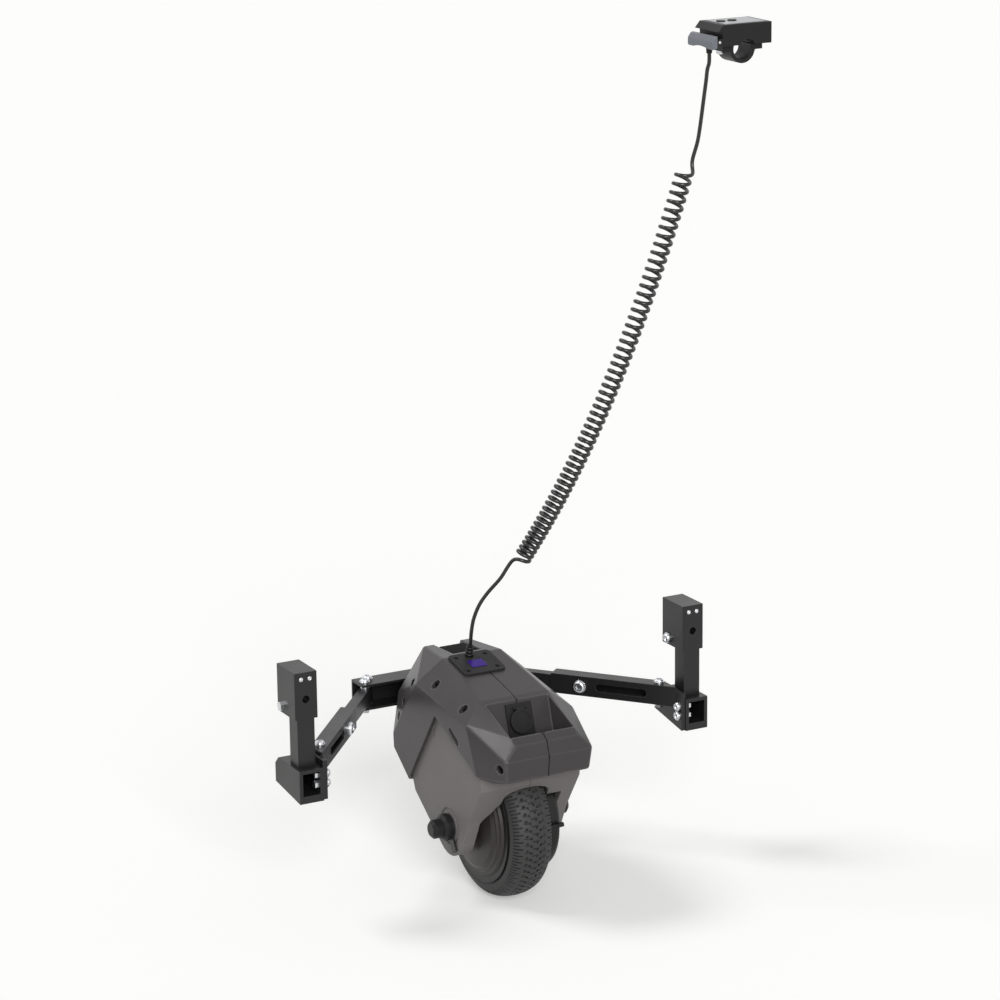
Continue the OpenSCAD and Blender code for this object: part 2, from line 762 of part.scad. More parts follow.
module charge_socket() color("#1c1c1e") on_well_wall() {
    difference() {
        box_of([-socket_w / 2, socket_w / 2], [-socket_t, 0], [-socket_h / 2, socket_h / 2]);
        rod_y(socket_hole_r, -socket_t - over, -socket_t / 2);
    }
    at_lid_hinge() {
        rod_x(hinge_wire_r, -hinge_half - hinge_lug, hinge_half + hinge_lug);
        for (x = [-hinge_half - hinge_lug, hinge_half]) {
            rod_x(hinge_r, x, x + hinge_lug);
            box_of([x, x + hinge_lug], [0, hinge_r + free_gap], [-hinge_r, hinge_r]);
        }
    }
}

module socket_lid() color("#141416") on_well_wall() difference() {
    union() {
        rod_y(lid_r, -socket_t - free_gap - lid_t, -socket_t - free_gap);
        at_lid_hinge() {
            rod_x(hinge_r, free_gap - hinge_half, hinge_half - free_gap);
            box_of([free_gap - hinge_half, hinge_half - free_gap], [-hinge_r, hinge_r], [-2 * hinge_r, 0]);
        }
    }
    rod_y(lid_dish_r, -2 * lid_t - socket_t, lid_dish - socket_t - free_gap - lid_t);
    at_lid_hinge() rod_x(hinge_wire_r + run_fit, -lid_r, lid_r);
}

// Battery and motor controller inside the fork

module battery_pack() color("#2f4a6b")
    along_x(tray_wall + free_gap - fork_half_w, fork_half_w - tray_wall - free_gap) polygon([
        [tray_rear + free_gap, tray_floor], [tongue_root - free_gap, tray_floor],
        [tongue_root - free_gap, cover_base.z + battery_front_top_share * cover_size.z],
        [tray_rear + free_gap, cover_base.z + battery_rear_top_share * cover_size.z]]);

module motor_controller() color("#2d5a3a") box_of([free_gap - box_half_w, box_half_w - free_gap],
    [box_rear + free_gap, box_rear + box_d - free_gap], [box_heights[0], box_heights[1] - free_gap]);

// Docking: crossbar channel with its pin, and the tongue of the drive unit

module at_pin() translate([0, pin_ahead, -pin_drop]) children();

module cross_channel() color("#1b1b1d") difference() {
    union() {
        difference() {
            box_of([-channel_half, channel_half], [channel_rear, channel_rear + channel_d],
                [channel_bottom, channel_bottom + channel_h]);
            box_of([-channel_half - over, channel_half + over],
                [channel_rear - over, channel_rear + channel_d - channel_wall],
                [channel_bottom + channel_wall, channel_bottom + channel_h - channel_wall]);
        }
        for (x = [-lug_in - lug_t, lug_in])
            box_of([x, x + lug_t], [channel_rear, channel_rear + channel_d],
                [channel_bottom, channel_bottom + channel_h]);
    }
    at_pin() rod_x(pin_r + run_fit, -pin_half - over, pin_half + over);
    both_sides() at_channel_bolts() cylinder(r = bolt_r + bolt_fit, h = 2 * channel_h, center = true);
}

module dock_pin() color("#b9bac0") at_pin() rod_x(pin_r, -pin_half, pin_half);

module tongue_outline() {
    translate([pin_ahead, -pin_drop]) circle(r = eye_r);
    translate([tongue_root, -pin_drop - tongue_t / 2]) square([pin_ahead - tongue_root, tongue_t]);
}

module dock_tongue() color("#202022") difference() {
    along_x(-tongue_w / 2, tongue_w / 2) tongue_outline();
    at_pin() rod_x(pin_r + run_fit, -tongue_w, tongue_w);
}

// Arms: inner bar bolted in the channel, slotted sleeve with its bracket plate

module on_arm(along) translate([arm_pivot.x, arm_pivot.y, -pin_drop]) rotate([0, 0, arm_yaw])
    translate([along, 0, 0]) children();

module at_end_bolt() on_arm(arm_len - end_bolt_in) children();

module at_channel_bolts() for (along = [0, lock_bolt_step]) on_arm(along) children();

module arm_bar_half() difference() {
    on_arm(0) {
        translate([0, 0, -bar_h / 2]) cylinder(r = bar_t / 2, h = bar_h);
        box_of([0, sleeve_from + bar_overlap], [-bar_t / 2, bar_t / 2], [-bar_h / 2, bar_h / 2]);
    }
    at_channel_bolts() cylinder(r = bolt_r + bolt_fit, h = 2 * bar_h, center = true);
    on_arm(dome_at) rod_y(bolt_r + bolt_fit, -bar_t, bar_t);
}

module right_arm_bar() color("#19191b") arm_bar_half();

module left_arm_bar() color("#19191b") left_of() arm_bar_half();

// A square rod along the arm, cut off at the bracket plate
module arm_rod(t, h, from) intersection() {
    on_arm(0) box_of([from, arm_len + sleeve_t], [-t / 2, t / 2], [-h / 2, h / 2]);
    box_of([0, arm_face_x], [-cover_len, cover_len], [-axle_drop, 0]);
}

module arm_sleeve_half() difference() {
    union() {
        arm_rod(sleeve_t, sleeve_h, sleeve_from);
        along_x(arm_face_x, arm_face_x + plate_t) polygon([for (s = plate_shares)
            [s[0] * bracket_d - bracket_back, bracket_top + (s[1] - 1) * bracket_h]]);
    }
    arm_rod(sleeve_t - 2 * sleeve_wall, sleeve_h - 2 * sleeve_wall, sleeve_from - over);
    on_arm(slot_at) {
        box_of([slot_h / 2, slot_len - slot_h / 2], [-sleeve_t, 0], [-slot_h / 2, slot_h / 2]);
        for (x = [slot_h / 2, slot_len - slot_h / 2]) translate([x, 0, 0]) rod_y(slot_h / 2, -sleeve_t, 0);
    }
    on_arm(dome_at) rod_y(bolt_r + bolt_fit, -sleeve_t, sleeve_t);
    at_end_bolt() cylinder(r = bolt_r + bolt_fit, h = 2 * sleeve_h, center = true);
    at_bracket_bolts() rod_x(bolt_r + bolt_fit, -bracket_w, bracket_w);
}

module right_arm_sleeve() color("#1d1d1f") arm_sleeve_half();

module left_arm_sleeve() color("#1d1d1f") left_of() arm_sleeve_half();

module channel_bolts() color("#c2c3c8") both_sides() at_channel_bolts() {
    translate([0, 0, -channel_h / 2 - nut_h]) cylinder(r = bolt_r, h = channel_h + nut_h);
    translate([0, 0, channel_h / 2]) cylinder(r = bolt_head_r, h = bolt_head_h);
    translate([0, 0, -channel_h / 2 - nut_h]) hex_nut(bolt_head_r, nut_h);
    for (z = [bar_h / 2, -bar_h / 2 - spacer_h]) translate([0, 0, z]) cylinder(r = spacer_r, h = spacer_h);
}

module arm_clamp_bolts() color("#c2c3c8") both_sides() {
    on_arm(dome_at) {
        rod_y(bolt_r, -sleeve_t / 2, sleeve_t / 2 + nut_h);
        rod_y(dome_r, -sleeve_t / 2 - dome_h / 2, -sleeve_t / 2);
        rod_y(dome_cap_r, -sleeve_t / 2 - dome_h, -sleeve_t / 2);
        translate([0, sleeve_t / 2 + nut_h, 0]) rotate([90, 0, 0]) hex_nut(bolt_head_r, nut_h);
    }
    at_end_bolt() {
        translate([0, 0, -sleeve_h / 2 - nut_h]) cylinder(r = bolt_r, h = sleeve_h + nut_h);
        translate([0, 0, sleeve_h / 2]) cylinder(r = bolt_head_r, h = bolt_head_h);
        translate([0, 0, -sleeve_h / 2 - nut_h]) hex_nut(bolt_head_r, nut_h);
    }
}

// Hangers: bracket, square drop tube and the block that bolts to the chair frame

module at_hanger() translate([hanger_x, 0, 0]) children();

module at_bracket_bolts() for (step = [0, bracket_bolt_step])
    translate([hanger_x, bracket_bolt_y, bracket_top - bracket_bolt_low - step]) children();

module lower_bracket_half() difference() {
    at_hanger() along_x(-bracket_w / 2, bracket_w / 2) polygon([
        [-bracket_back, bracket_top - bracket_h],
        [bracket_d - bracket_back, bracket_top - bracket_h + bracket_rise],
        [bracket_d - bracket_back, bracket_top - bracket_rise],
        [bracket_d - bracket_back - bracket_rise, bracket_top],
        [-bracket_back, bracket_top]]);
    at_hanger() box_of([bracket_wall - bracket_w / 2, bracket_w / 2 - bracket_wall],
        [-bracket_back - over, bracket_d - bracket_back - bracket_wall],
        [bracket_top - bracket_h + bracket_wall + bracket_rise / 2, bracket_top - bracket_wall]);
    at_bracket_bolts() rod_x(bolt_r + bolt_fit, -bracket_w, 0);
}

module right_lower_bracket() color("#1a1a1c") lower_bracket_half();

module left_lower_bracket() color("#1a1a1c") left_of() lower_bracket_half();

module bracket_bolts() color("#c2c3c8") both_sides() at_bracket_bolts() {
    rod_x(bolt_r, -bracket_w / 2 - plate_t, bracket_wall + nut_h - bracket_w / 2);
    rod_x(bracket_head_r, -bracket_w / 2 - plate_t - bolt_head_h, -bracket_w / 2 - plate_t);
    translate([bracket_wall - bracket_w / 2, 0, 0]) rotate([0, 90, 0]) hex_nut(bracket_head_r, nut_h);
}

module drop_tube_half() at_hanger() difference() {
    box_of([-tube_w / 2, tube_w / 2], [tube_y - tube_w / 2, tube_y + tube_w / 2],
        [bracket_top, block_bottom + tube_into_block]);
    box_of([tube_wall - tube_w / 2, tube_w / 2 - tube_wall],
        [tube_y - tube_w / 2 + tube_wall, tube_y + tube_w / 2 - tube_wall],
        [bracket_top - over, block_bottom + tube_into_block + over]);
}

module at_block_bolt() translate([0, block_bolt_y, block_bolt_z]) children();

module right_drop_tube() color("#1e1e20") drop_tube_half();

module left_drop_tube() color("#1e1e20") left_of() drop_tube_half();

module frame_block_half() at_hanger() difference() {
    box_of([-block_w / 2, block_w / 2], [-block_back, block_d - block_back],
        [block_bottom, block_bottom + block_h]);
    box_of([-tube_w / 2 - run_fit, tube_w / 2 + run_fit],
        [tube_y - tube_w / 2 - run_fit, tube_y + tube_w / 2 + run_fit],
        [block_bottom - over, block_bottom + tube_into_block]);
    rod_y(frame_bolt_r, -block_d, block_d);
    at_block_bolt() rod_x(bolt_r + bolt_fit, -block_w, block_w);
    at_set_screws() rod_y(set_screw_r + run_fit, -block_back - over, set_screw_len - block_back);
}

module at_set_screws() for (x = [-set_screw_step / 2, set_screw_step / 2])
    translate([x, 0, set_screw_z]) children();

module right_frame_block() color("#232326") frame_block_half();

module left_frame_block() color("#232326") left_of() frame_block_half();

module block_bolts() color("#c2c3c8") both_sides() at_hanger() at_block_bolt() {
    rod_x(bolt_r, -block_w / 2, block_w / 2 + nut_h);
    rod_x(bolt_head_r, -block_w / 2 - bolt_head_h, -block_w / 2);
    translate([block_w / 2, 0, 0]) rotate([0, 90, 0]) hex_nut(bolt_head_r, nut_h);
}

module set_screws() color("#8f9096") both_sides() at_hanger() at_set_screws()
    rod_y(set_screw_r, -block_back, set_screw_len - block_back);

// Hand control on the push handle

module at_control() translate([control_x, -control_back, control_up]) children();

module at_lever_axis() translate([lever_axis_x, 0, lever_axis_z]) children();

module at_gland() translate([gland_in_x - base_left, control_d / 2 - gland_in_y, base_z]) children();

module at_strap_screws() for (x = [-strap_screw_x, strap_screw_x]) translate([x, 0, base_z]) children();

module control_base() color("#1c1c1e") at_control() difference() {
    union() {
        box_of([-base_left, control_right], [-control_d / 2, control_d / 2], [base_z, lid_z]);
        for (y = [-control_d / 2, control_d / 2 - ear_t]) {
            box_of([lever_axis_x, over - base_left], [y, y + ear_t],
                [lever_axis_z - ear_r, lever_axis_z + ear_r]);
            at_lever_axis() rod_y(ear_r, y, y + ear_t);
        }
    }
    rod_y(handle_r, -control_d, control_d);
    at_lever_axis() rod_y(lever_pin_r + run_fit, -control_d, control_d);
    at_strap_screws() translate([0, 0, -over])
        cylinder(r = strap_screw_r + run_fit, h = strap_screw_into + over);
}

module lid_outline(inset, drop) polygon([
    [inset - control_left - lid_flare, lid_z - drop],
    [inset - control_left + lid_bevel - lid_flare, lid_top - inset],
    [control_right - inset, lid_top - inset], [control_right - inset, lid_z - drop]]);

module control_lid() color("#202023") at_control() difference() {
    along_y(-control_d / 2, control_d / 2) lid_outline(0, 0);
    along_y(lid_wall - control_d / 2, control_d / 2 - lid_wall) lid_outline(lid_wall, over);
    key_holes();
}

module at_key(i) translate([key_x_shares[i] * control_w, 0, 0]) children();

module key_holes() for (i = [0, 1]) at_key(i) translate([0, 0, lid_z])
    cylinder(r = key_r + free_gap, h = 2 * lid_h);

// The panel foil lies on the lid, inside its rim
module control_panel() color("#b9bcc0") at_control() difference() {
    box_of([panel_in - control_left + lid_bevel - lid_flare, control_right - panel_in],
        [panel_in - control_d / 2, control_d / 2 - panel_in], [lid_top, lid_top + panel_t]);
    key_holes();
}

module control_board() color("#2a5a35") at_control() box_of([board_in - base_left, control_right - board_in],
    [board_in - control_d / 2, control_d / 2 - board_in], [lid_z, lid_z + board_t]);

module key(i) at_control() at_key(i) translate([0, 0, lid_top - lid_wall - key_seat_gap - key_flange_t]) {
    cylinder(r = key_r + key_flange, h = key_flange_t);
    cylinder(r = key_r, h = key_flange_t + key_seat_gap + lid_wall + panel_t + key_rise);
}

module power_key() color("#9a2f2a") key(0);

module mode_key() color("#4b4d52") key(1);

module lever_pin() color("#b9bac0") at_control() at_lever_axis()
    rod_y(lever_pin_r, -control_d / 2, control_d / 2);

// Thumb lever: a hinged barrel with a dished wing
module thumb_lever() color("#6e7379") at_control() at_lever_axis() difference() {
    union() {
        rod_y(lever_barrel_r, -barrel_half, barrel_half);
        box_of([-wing_from - over, 0], [-barrel_half, barrel_half],
            [-lever_barrel_r / 2, lever_barrel_r / 2]);
        along_y(-lever_len / 2, lever_len / 2)
            polygon([for (s = wing_shares) [-wing_from - s[0] * (lever_reach - wing_from), s[1] * lever_h]]);
    }
    rod_y(lever_pin_r + run_fit, -lever_len, lever_len);
    translate([0, 0, lever_arc_deep - lever_h / 2 - lever_arc_r])
        rod_x(lever_arc_r, -2 * lever_reach, -wing_from);
}

module clamp_strap() color("#1c1c1e") at_control() difference() {
    union() {
        rod_y(handle_r + strap_t, -strap_d / 2, strap_d / 2);
        box_of([-handle_r - strap_t - strap_ear, handle_r + strap_t + strap_ear], [-strap_d / 2, strap_d / 2],
            [base_z - strap_gap - strap_ear_t, base_z - strap_gap]);
    }
    rod_y(handle_r, -strap_d, strap_d);
    box_of([-control_w, control_w], [-control_d, control_d], [base_z - strap_gap, control_w]);
    at_strap_screws() translate([0, 0, -control_w]) cylinder(r = strap_screw_r + bolt_fit, h = control_w);
}

module clamp_screws() color("#c2c3c8") at_control() at_strap_screws()
    translate([0, 0, -strap_gap - strap_ear_t]) {
    cylinder(r = strap_screw_r, h = strap_ear_t + strap_gap + strap_screw_into);
    translate([0, 0, -strap_head_h]) cylinder(r = strap_head_r, h = strap_head_h);
}

module cable_gland() color("#161618") at_control() at_gland() translate([0, 0, -gland_len]) difference() {
    cylinder(r1 = gland_tip_r, r2 = gland_r, h = gland_len);
    translate([0, 0, -over]) cylinder(r = cord_d / 2 + bolt_fit, h = gland_bore + over);
}

// Cord: straight leads and one unbroken curly tube, swept along their points

function unit(v) = v / norm(v);

function tangent(pts, i) = unit(pts[min(i + 1, len(pts) - 1)] - pts[max(i - 1, 0)]);

function square_to(v, up) = unit(up - v * (up * v));

// Side direction of each ring, carried on from ring to ring so that the tube doesn't twist
function ring_sides(pts) = [for (i = 0, a = square_to(tangent(pts, 0), first_side); i < len(pts);
    i = i + 1, a = square_to(tangent(pts, min(i, len(pts) - 1)), a)) a];

function ring(centre, t, a, sides, r) = let (b = cross(t, a))
    [for (k = [0 : sides - 1]) centre + r * (cos(k * 360 / sides) * a + sin(k * 360 / sides) * b)];

module swept(pts, sides, r) {
    count = len(pts);
    starts = ring_sides(pts);
    polyhedron(
        points = [for (i = [0 : count - 1]) each ring(pts[i], tangent(pts, i), starts[i], sides, r)],
        faces = concat(
            [[for (k = [0 : sides - 1]) sides - 1 - k]],
            [[for (k = [0 : sides - 1]) (count - 1) * sides + k]],
            [for (i = [0 : count - 2], k = [0 : sides - 1])
                [i * sides + k, i * sides + (k + 1) % sides, (i + 1) * sides + k]],
            [for (i = [0 : count - 2], k = [0 : sides - 1])
                [i * sides + (k + 1) % sides, (i + 1) * sides + (k + 1) % sides, (i + 1) * sides + k]]));
}

// Middle line of the curls: a hanging curve pulled towards one point
function coil_line(s) = (1 - s) * (1 - s) * coil_low + 2 * s * (1 - s) * coil_pull + s * s * coil_high;

function coil_ahead(s) = unit((1 - s) * (coil_pull - coil_low) + s * (coil_high - coil_pull));

// Share of the curls that lie below a share of the middle line: they crowd at the low end
function curl_share(s) = s + curl_pack * s * (1 - s) * (1 - s);

function curl_slope(s) = 1 + curl_pack * (1 - s) * (1 - 3 * s);

// The curls open out from the middle line at each end
function curl_radius(c) =
    (coil_d - cord_d) / 2 * min(1, c * curls / ease_curls, (1 - c) * curls / ease_curls);

function curl_point(c, s) = let (
    t = coil_ahead(s),
    a = square_to(t, [1, 0, 0]),
    b = cross(t, a),
    turn = 360 * curls * c)
    coil_line(s) + curl_radius(c) * (cos(turn) * a + sin(turn) * b);

// Place on the middle line of a share of the curls, by a few Newton steps
function curl_place(c, s, steps) = steps == 0 ? s
    : curl_place(c, s - (curl_share(s) - c) / curl_slope(s), steps - 1);

ring_count = curls * curl_rings;
coil_points = concat(
    [coil_low, coil_low + cord_d * coil_ahead(0)],
    [for (i = [curl_rings : ring_count - curl_rings]) let (c = i / ring_count)
        curl_point(c, curl_place(c, c, newton_steps))],
    [coil_high - cord_d * coil_ahead(1), coil_high]);

// Least gap between curls, on the ring centres more than half a curl apart
coil_gap = min([for (i = [0 : len(coil_points) - 1], j = [i + curl_rings / 2 : i + 2 * curl_rings])
    if (j < len(coil_points)) norm(coil_points[i] - coil_points[j])]) - cord_d;

module coil_cord() color("#131315") {
    echo(least_gap_between_curls = coil_gap);
    swept(coil_points, curl_sides, cord_d / 2);
}

module lower_lead() color("#131315") swept(lower_route, lead_sides, cord_d / 2);

module upper_lead() color("#131315") swept(upper_route, lead_sides, cord_d / 2);

cross_channel();
dock_pin();
channel_bolts();
left_arm_bar();
right_arm_bar();
left_arm_sleeve();
right_arm_sleeve();
arm_clamp_bolts();
left_lower_bracket();
right_lower_bracket();
bracket_bolts();
left_drop_tube();
right_drop_tube();
left_frame_block();
right_frame_block();
block_bolts();
set_screws();
control_base();
control_lid();
control_panel();
control_board();
clamp_strap();
clamp_screws();
lever_pin();
thumb_lever();
power_key();
mode_key();
cable_gland();
upper_lead();
coil_cord();
lower_lead();
left_cover();
right_cover();
cover_screws();
left_fork();
right_fork();
top_plate();
plate_screws();
status_window();
cable_boot();
charge_socket();
socket_lid();
battery_pack();
motor_controller();
dock_tongue();
axle();
stator();
left_torque_washer();
right_torque_washer();
left_axle_cap();
right_axle_cap();
tyre();
hub_drum();
left_hub_cover();
right_hub_cover();
wheel_bearings();
tyre_valve();
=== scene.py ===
"""Looks of a wheelchair power assist, dressed around its packed solids.

Lengths are metres unless a name ends in mm. X to the right, Y forward, Z up.
"""

import math

import bmesh
import bpy
from bpy.props import FloatProperty, FloatVectorProperty, IntProperty, PointerProperty
from mathutils import Euler, Matrix, Vector


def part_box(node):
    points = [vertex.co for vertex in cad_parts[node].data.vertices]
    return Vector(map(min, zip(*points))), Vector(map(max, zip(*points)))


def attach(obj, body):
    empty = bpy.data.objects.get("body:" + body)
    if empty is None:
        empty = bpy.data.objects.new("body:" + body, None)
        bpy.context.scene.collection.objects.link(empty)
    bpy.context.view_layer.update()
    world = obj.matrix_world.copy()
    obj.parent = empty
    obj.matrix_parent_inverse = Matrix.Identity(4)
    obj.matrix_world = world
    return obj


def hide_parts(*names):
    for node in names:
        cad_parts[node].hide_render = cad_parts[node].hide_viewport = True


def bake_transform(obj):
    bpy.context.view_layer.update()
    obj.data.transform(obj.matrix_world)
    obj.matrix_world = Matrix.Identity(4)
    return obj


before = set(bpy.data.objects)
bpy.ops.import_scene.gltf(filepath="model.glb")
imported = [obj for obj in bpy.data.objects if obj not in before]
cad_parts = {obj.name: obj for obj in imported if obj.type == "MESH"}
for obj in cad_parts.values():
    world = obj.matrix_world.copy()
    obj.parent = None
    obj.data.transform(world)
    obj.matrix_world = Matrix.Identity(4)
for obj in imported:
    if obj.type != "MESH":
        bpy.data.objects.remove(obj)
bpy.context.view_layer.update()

bl_info = {
    "name": "Wheelchair power assist",
    "version": (1, 0, 0),
    "blender": (4, 5, 0),
    "location": "View3D > Sidebar > Power assist",
    "description": "Dresses the packed power assist with its finishes, tyre, control lead and stage",
    "category": "Object",
}

MM = 0.001

# Points of a mesh that lie closer than this are one point, and faces that turn less than this are one face
MERGE = 0.01 * MM
FLAT_LIMIT = math.radians(0.6)

# Route of the control lead, from the boot on the housing up to the gland of the hand control
LOWER_ROUTE = [
    (-0.007, 0.049, 0.004), (-0.007, 0.047, 0.012), (-0.007, 0.045, 0.022), (-0.005, 0.043, 0.036),
    (0.000, 0.039, 0.052), (0.008, 0.034, 0.066),
]
COIL_LOW = Vector((0.040, 0.012, 0.107))
COIL_PULL = Vector((0.124, -0.043, 0.268))
COIL_HIGH = Vector((0.184, -0.088, 0.532))
UPPER_ROUTE = [
    (0.1993, -0.0935, 0.578), (0.2000, -0.0968, 0.596), (0.2008, -0.0997, 0.614), (0.2016, -0.1022, 0.630),
    (0.202, -0.104, 0.642), (0.203, -0.106, 0.650), (0.203, -0.106, 0.662),
]

# Straight run of the lead next to a swing, and points on each stretch of its route
END_RUN = 0.014
ROUTE_STEPS = 6

# Steps that find where on the middle line a curl lies
SOLVE_STEPS = 6

# Section of the tyre: where its beads end, how far the crown turns, and how its columns crowd at the sides
BEAD_SHARE = 0.93
CROWN_EDGE = math.radians(86)
CROWN_CROWDING = math.radians(77.4)
CROWN_COLUMNS = 88

# Rings of points in one repeat of the tread, as shares of the repeat
TREAD_RINGS = [0, 0.08, 0.14, 0.175, 0.325, 0.36, 0.43, 0.5, 0.57, 0.64, 0.675, 0.825, 0.86, 0.93, 1]

# Slots in one repeat of the tread: middle across the crown in mm, place around as a share of the repeat
# and a shift in mm, half length across and half width around in mm
SIDE_SLOTS = [
    (21.0, 0.25, 0.0, 5.4, 0.80),
    (23.2, 0.75, 0.0, 3.2, 0.80),
    (9.6, 0.75, 0.0, 3.6, 0.65),
    (10.6, 0.75, -1.5, 0.65, 1.6),
    (5.4, 0.75, 0.9, 0.65, 1.5),
]
MIDDLE_SLOTS = [
    (0.0, 0.25, 0.0, 3.6, 0.65),
    (1.2, 0.25, 1.5, 0.65, 1.6),
]
SLOT_SOFT_MM = 0.35

# Docking head between the notch walls: its outline in Y and Z, from the tongue up to the roof
DOCK_OUTLINE = [
    (0.0708, -0.0760), (0.0708, -0.0132), (0.1080, -0.0125), (0.1300, -0.0640), (0.1300, -0.0760),
]
DOCK_ROUND = 0.0016

# Oval recess in each side of the housing, with a plain plate sunk in it
OVAL_PLACE = (-0.0226, -0.0711)
OVAL_LEAN = math.radians(-60)
OVAL_RADIUS = 0.0035
OVAL_LENGTH = 0.018
OVAL_DEEP = 0.0018
OVAL_SUNK = 0.0007
OVAL_RISE = 0.0003
OVAL_TOP_SHARE = 0.84
OVAL_ARC_STEPS = 10

# Slit in each fork half, with a dark liner sunk in it as painted shade
SLIT_PLACE = (0.0346, -0.0837)
SLIT_WIDE = 0.0024
SLIT_LONG = 0.010
SLIT_DEEP = 0.003
SLIT_SUNK = 0.0006
SLIT_ROUND = 0.0002

# Boot of the lead, from its foot on the top plate to its tip, ribbed between two shares of its length
BOOT_LENGTH = 0.020
BOOT_FOOT = 0.0048
BOOT_TIP = 0.0034
BOOT_RIBS = 5
BOOT_RIB_HEIGHT = 0.0006
BOOT_RIBBED = (0.12, 0.94)
BOOT_RINGS = 61
BOOT_AROUND = 28

# Head of a bolt of unit radius, its profile as radius and height, and the hex socket in it
HEAD_PROFILE = [(1.16, 0.0), (1.16, 0.16), (1.02, 0.22), (1.0, 0.5), (0.9, 0.78), (0.74, 0.95), (0.6, 1.0)]
HEAD_AROUND = 24
SOCKET_SIDES = 6
SOCKET_FLAT = 0.46
SOCKET_HEIGHTS = (0.97, 0.45)

# Size of a head beside the radius of the bolt's end that it covers, and how deep it sits over that end
HEAD_WIDE = 1.01
HEAD_TALL = 0.62
HEAD_SUNK = 0.35

# A bolt's ends are its flat sides of at least this share of the largest one
END_SHARE = 0.6

# Bolts of the frame show their heads to this side, and screws of the housing away from its middle
BOLTS_FACE = Vector((0.0, -0.4, 0.5))
UNIT_MIDDLE = Vector((0.0, 0.02, -0.09))


def linear(code):
    """An sRGB hex colour as linear red, green and blue."""
    parts = [int(code[i:i + 2], 16) / 255 for i in (1, 3, 5)]
    return tuple(p / 12.92 if p <= 0.04045 else ((p + 0.055) / 1.055) ** 2.4 for p in parts)


def colour_of(words, code):
    """A colour property with its sRGB default."""
    return FloatVectorProperty(
        name=words, description=f"Colour of the {words.lower()}", subtype="COLOR", size=3,
        min=0.0, max=1.0, default=linear(code))


def length_of(words, tells, size):
    """A length property in metres."""
    return FloatProperty(name=words, description=tells, default=size, unit="LENGTH", precision=5)


def angle_of(words, tells, degrees):
    """An angle property, given in degrees."""
    return FloatProperty(name=words, description=tells, default=math.radians(degrees), subtype="ANGLE")


def number_of(words, tells, value):
    """A plain number property, whole or not as its default is."""
    kind = IntProperty if isinstance(value, int) else FloatProperty
    return kind(name=words, description=tells, default=value)


def aim_of(words, lamp, way):
    """The direction in which a lamp stands."""
    return FloatVectorProperty(
        name=words, description=f"Where the {lamp} stands, seen from the part", subtype="DIRECTION",
        default=way)


class CameraSettings(bpy.types.PropertyGroup):
    """Where the picture is taken from"""

    place: FloatVectorProperty(
        name="Place", description="Where the camera stands", subtype="TRANSLATION", unit="LENGTH",
        default=(-1.6859, -3.1940, 1.1741))
    turn: angle_of("Turn", "Turn of the view to the left of straight ahead", -27.918)
    tilt: angle_of("Tilt", "How far the view looks down", 15.384)
    roll: angle_of("Roll", "Roll of the picture", -0.688)
    lens: FloatProperty(name="Lens", description="Focal length", default=125.25, unit="CAMERA")


class LeadSizes(bpy.types.PropertyGroup):
    """Sizes of the curly control lead"""

    diameter: length_of("Diameter", "Thickness of the lead", 0.0042)
    curl_width: length_of("Curl width", "Outer width of the curls", 0.021)
    curls: number_of("Curls", "Number of curls", 56)
    crowding: number_of("Crowding", "How much the curls crowd at the low end", 0.14)
    swing: length_of("Swing", "Length over which the lead swings off an end curl", 0.030)
    swing_steps: number_of("Swing steps", "Points on a swing", 16)
    low_side: angle_of("Low side", "Where the low end curl starts round the middle line", 270)
    rings: number_of("Rings", "Rings of faces in one curl", 24)
    sides: number_of("Sides", "Faces around the lead", 12)


class TyreSizes(bpy.types.PropertyGroup):
    """Sizes of the tyre and its tread"""

    radius: length_of("Radius", "Outer radius of the tyre", 0.088)
    half_width: length_of("Half width", "Half the width of the tyre", 0.025)
    flange_radius: length_of("Flange radius", "Radius of the rim flanges", 0.069)
    seat_radius: length_of("Seat radius", "Radius on which the tyre sits", 0.062)
    seat_half: length_of("Seat half width", "Half the width between the rim flanges", 0.022)
    crown_power: number_of("Crown power", "How square the crown is", 0.62)
    repeats: number_of("Repeats", "Tread repeats around the tyre", 65)
    groove: length_of("Groove", "Depth of the tread", 0.0019)


class FinishColours(bpy.types.PropertyGroup):
    """Colours of the finishes"""

    housing: colour_of("Housing", "#3d3a3b")
    fork: colour_of("Fork", "#6b6867")
    plate: colour_of("Top plate", "#2b2a2b")
    black: colour_of("Black plastic", "#171617")
    matt: colour_of("Matt black", "#121112")
    coat: colour_of("Powder coat", "#1b1a1b")
    zinc: colour_of("Zinc plating", "#d0d2d5")
    rubber: colour_of("Tyre rubber", "#2e2d2d")
    sheath: colour_of("Lead sheath", "#161617")
    hub: colour_of("Hub paint", "#322f2c")
    drum: colour_of("Hub drum", "#1b1a1a")
    insert: colour_of("Oval insert", "#1a191a")
    panel: colour_of("Panel foil", "#b4b6b8")
    lever: colour_of("Thumb lever", "#6d7178")
    window: colour_of("Status window", "#35197a")
    board: colour_of("Circuit board", "#2a5a35")
    wrap: colour_of("Battery wrap", "#2f4a6b")
    copper: colour_of("Copper winding", "#a8642c")


class StageSettings(bpy.types.PropertyGroup):
    """Floor and light"""

    floor: colour_of("Floor", "#e6e6e4")
    floor_glow: number_of("Floor glow", "Share of the floor's white that needs no lamp", 0.29)
    key: number_of("Key", "Main lamp, from the left behind the part", 2.3)
    key_aim: aim_of("Key aim", "main lamp", (-0.26, -0.87, 0.42))
    top: number_of("Top", "Lamp overhead", 1.1)
    top_aim: aim_of("Top aim", "overhead lamp", (-0.50, 0.27, 0.82))
    key_width: angle_of("Key width", "How wide the main lamp looks from the part", 30)
    top_width: angle_of("Top width", "How wide the overhead lamp looks from the part", 20)
    sky: number_of("Sky", "Light from all round", 0.28)


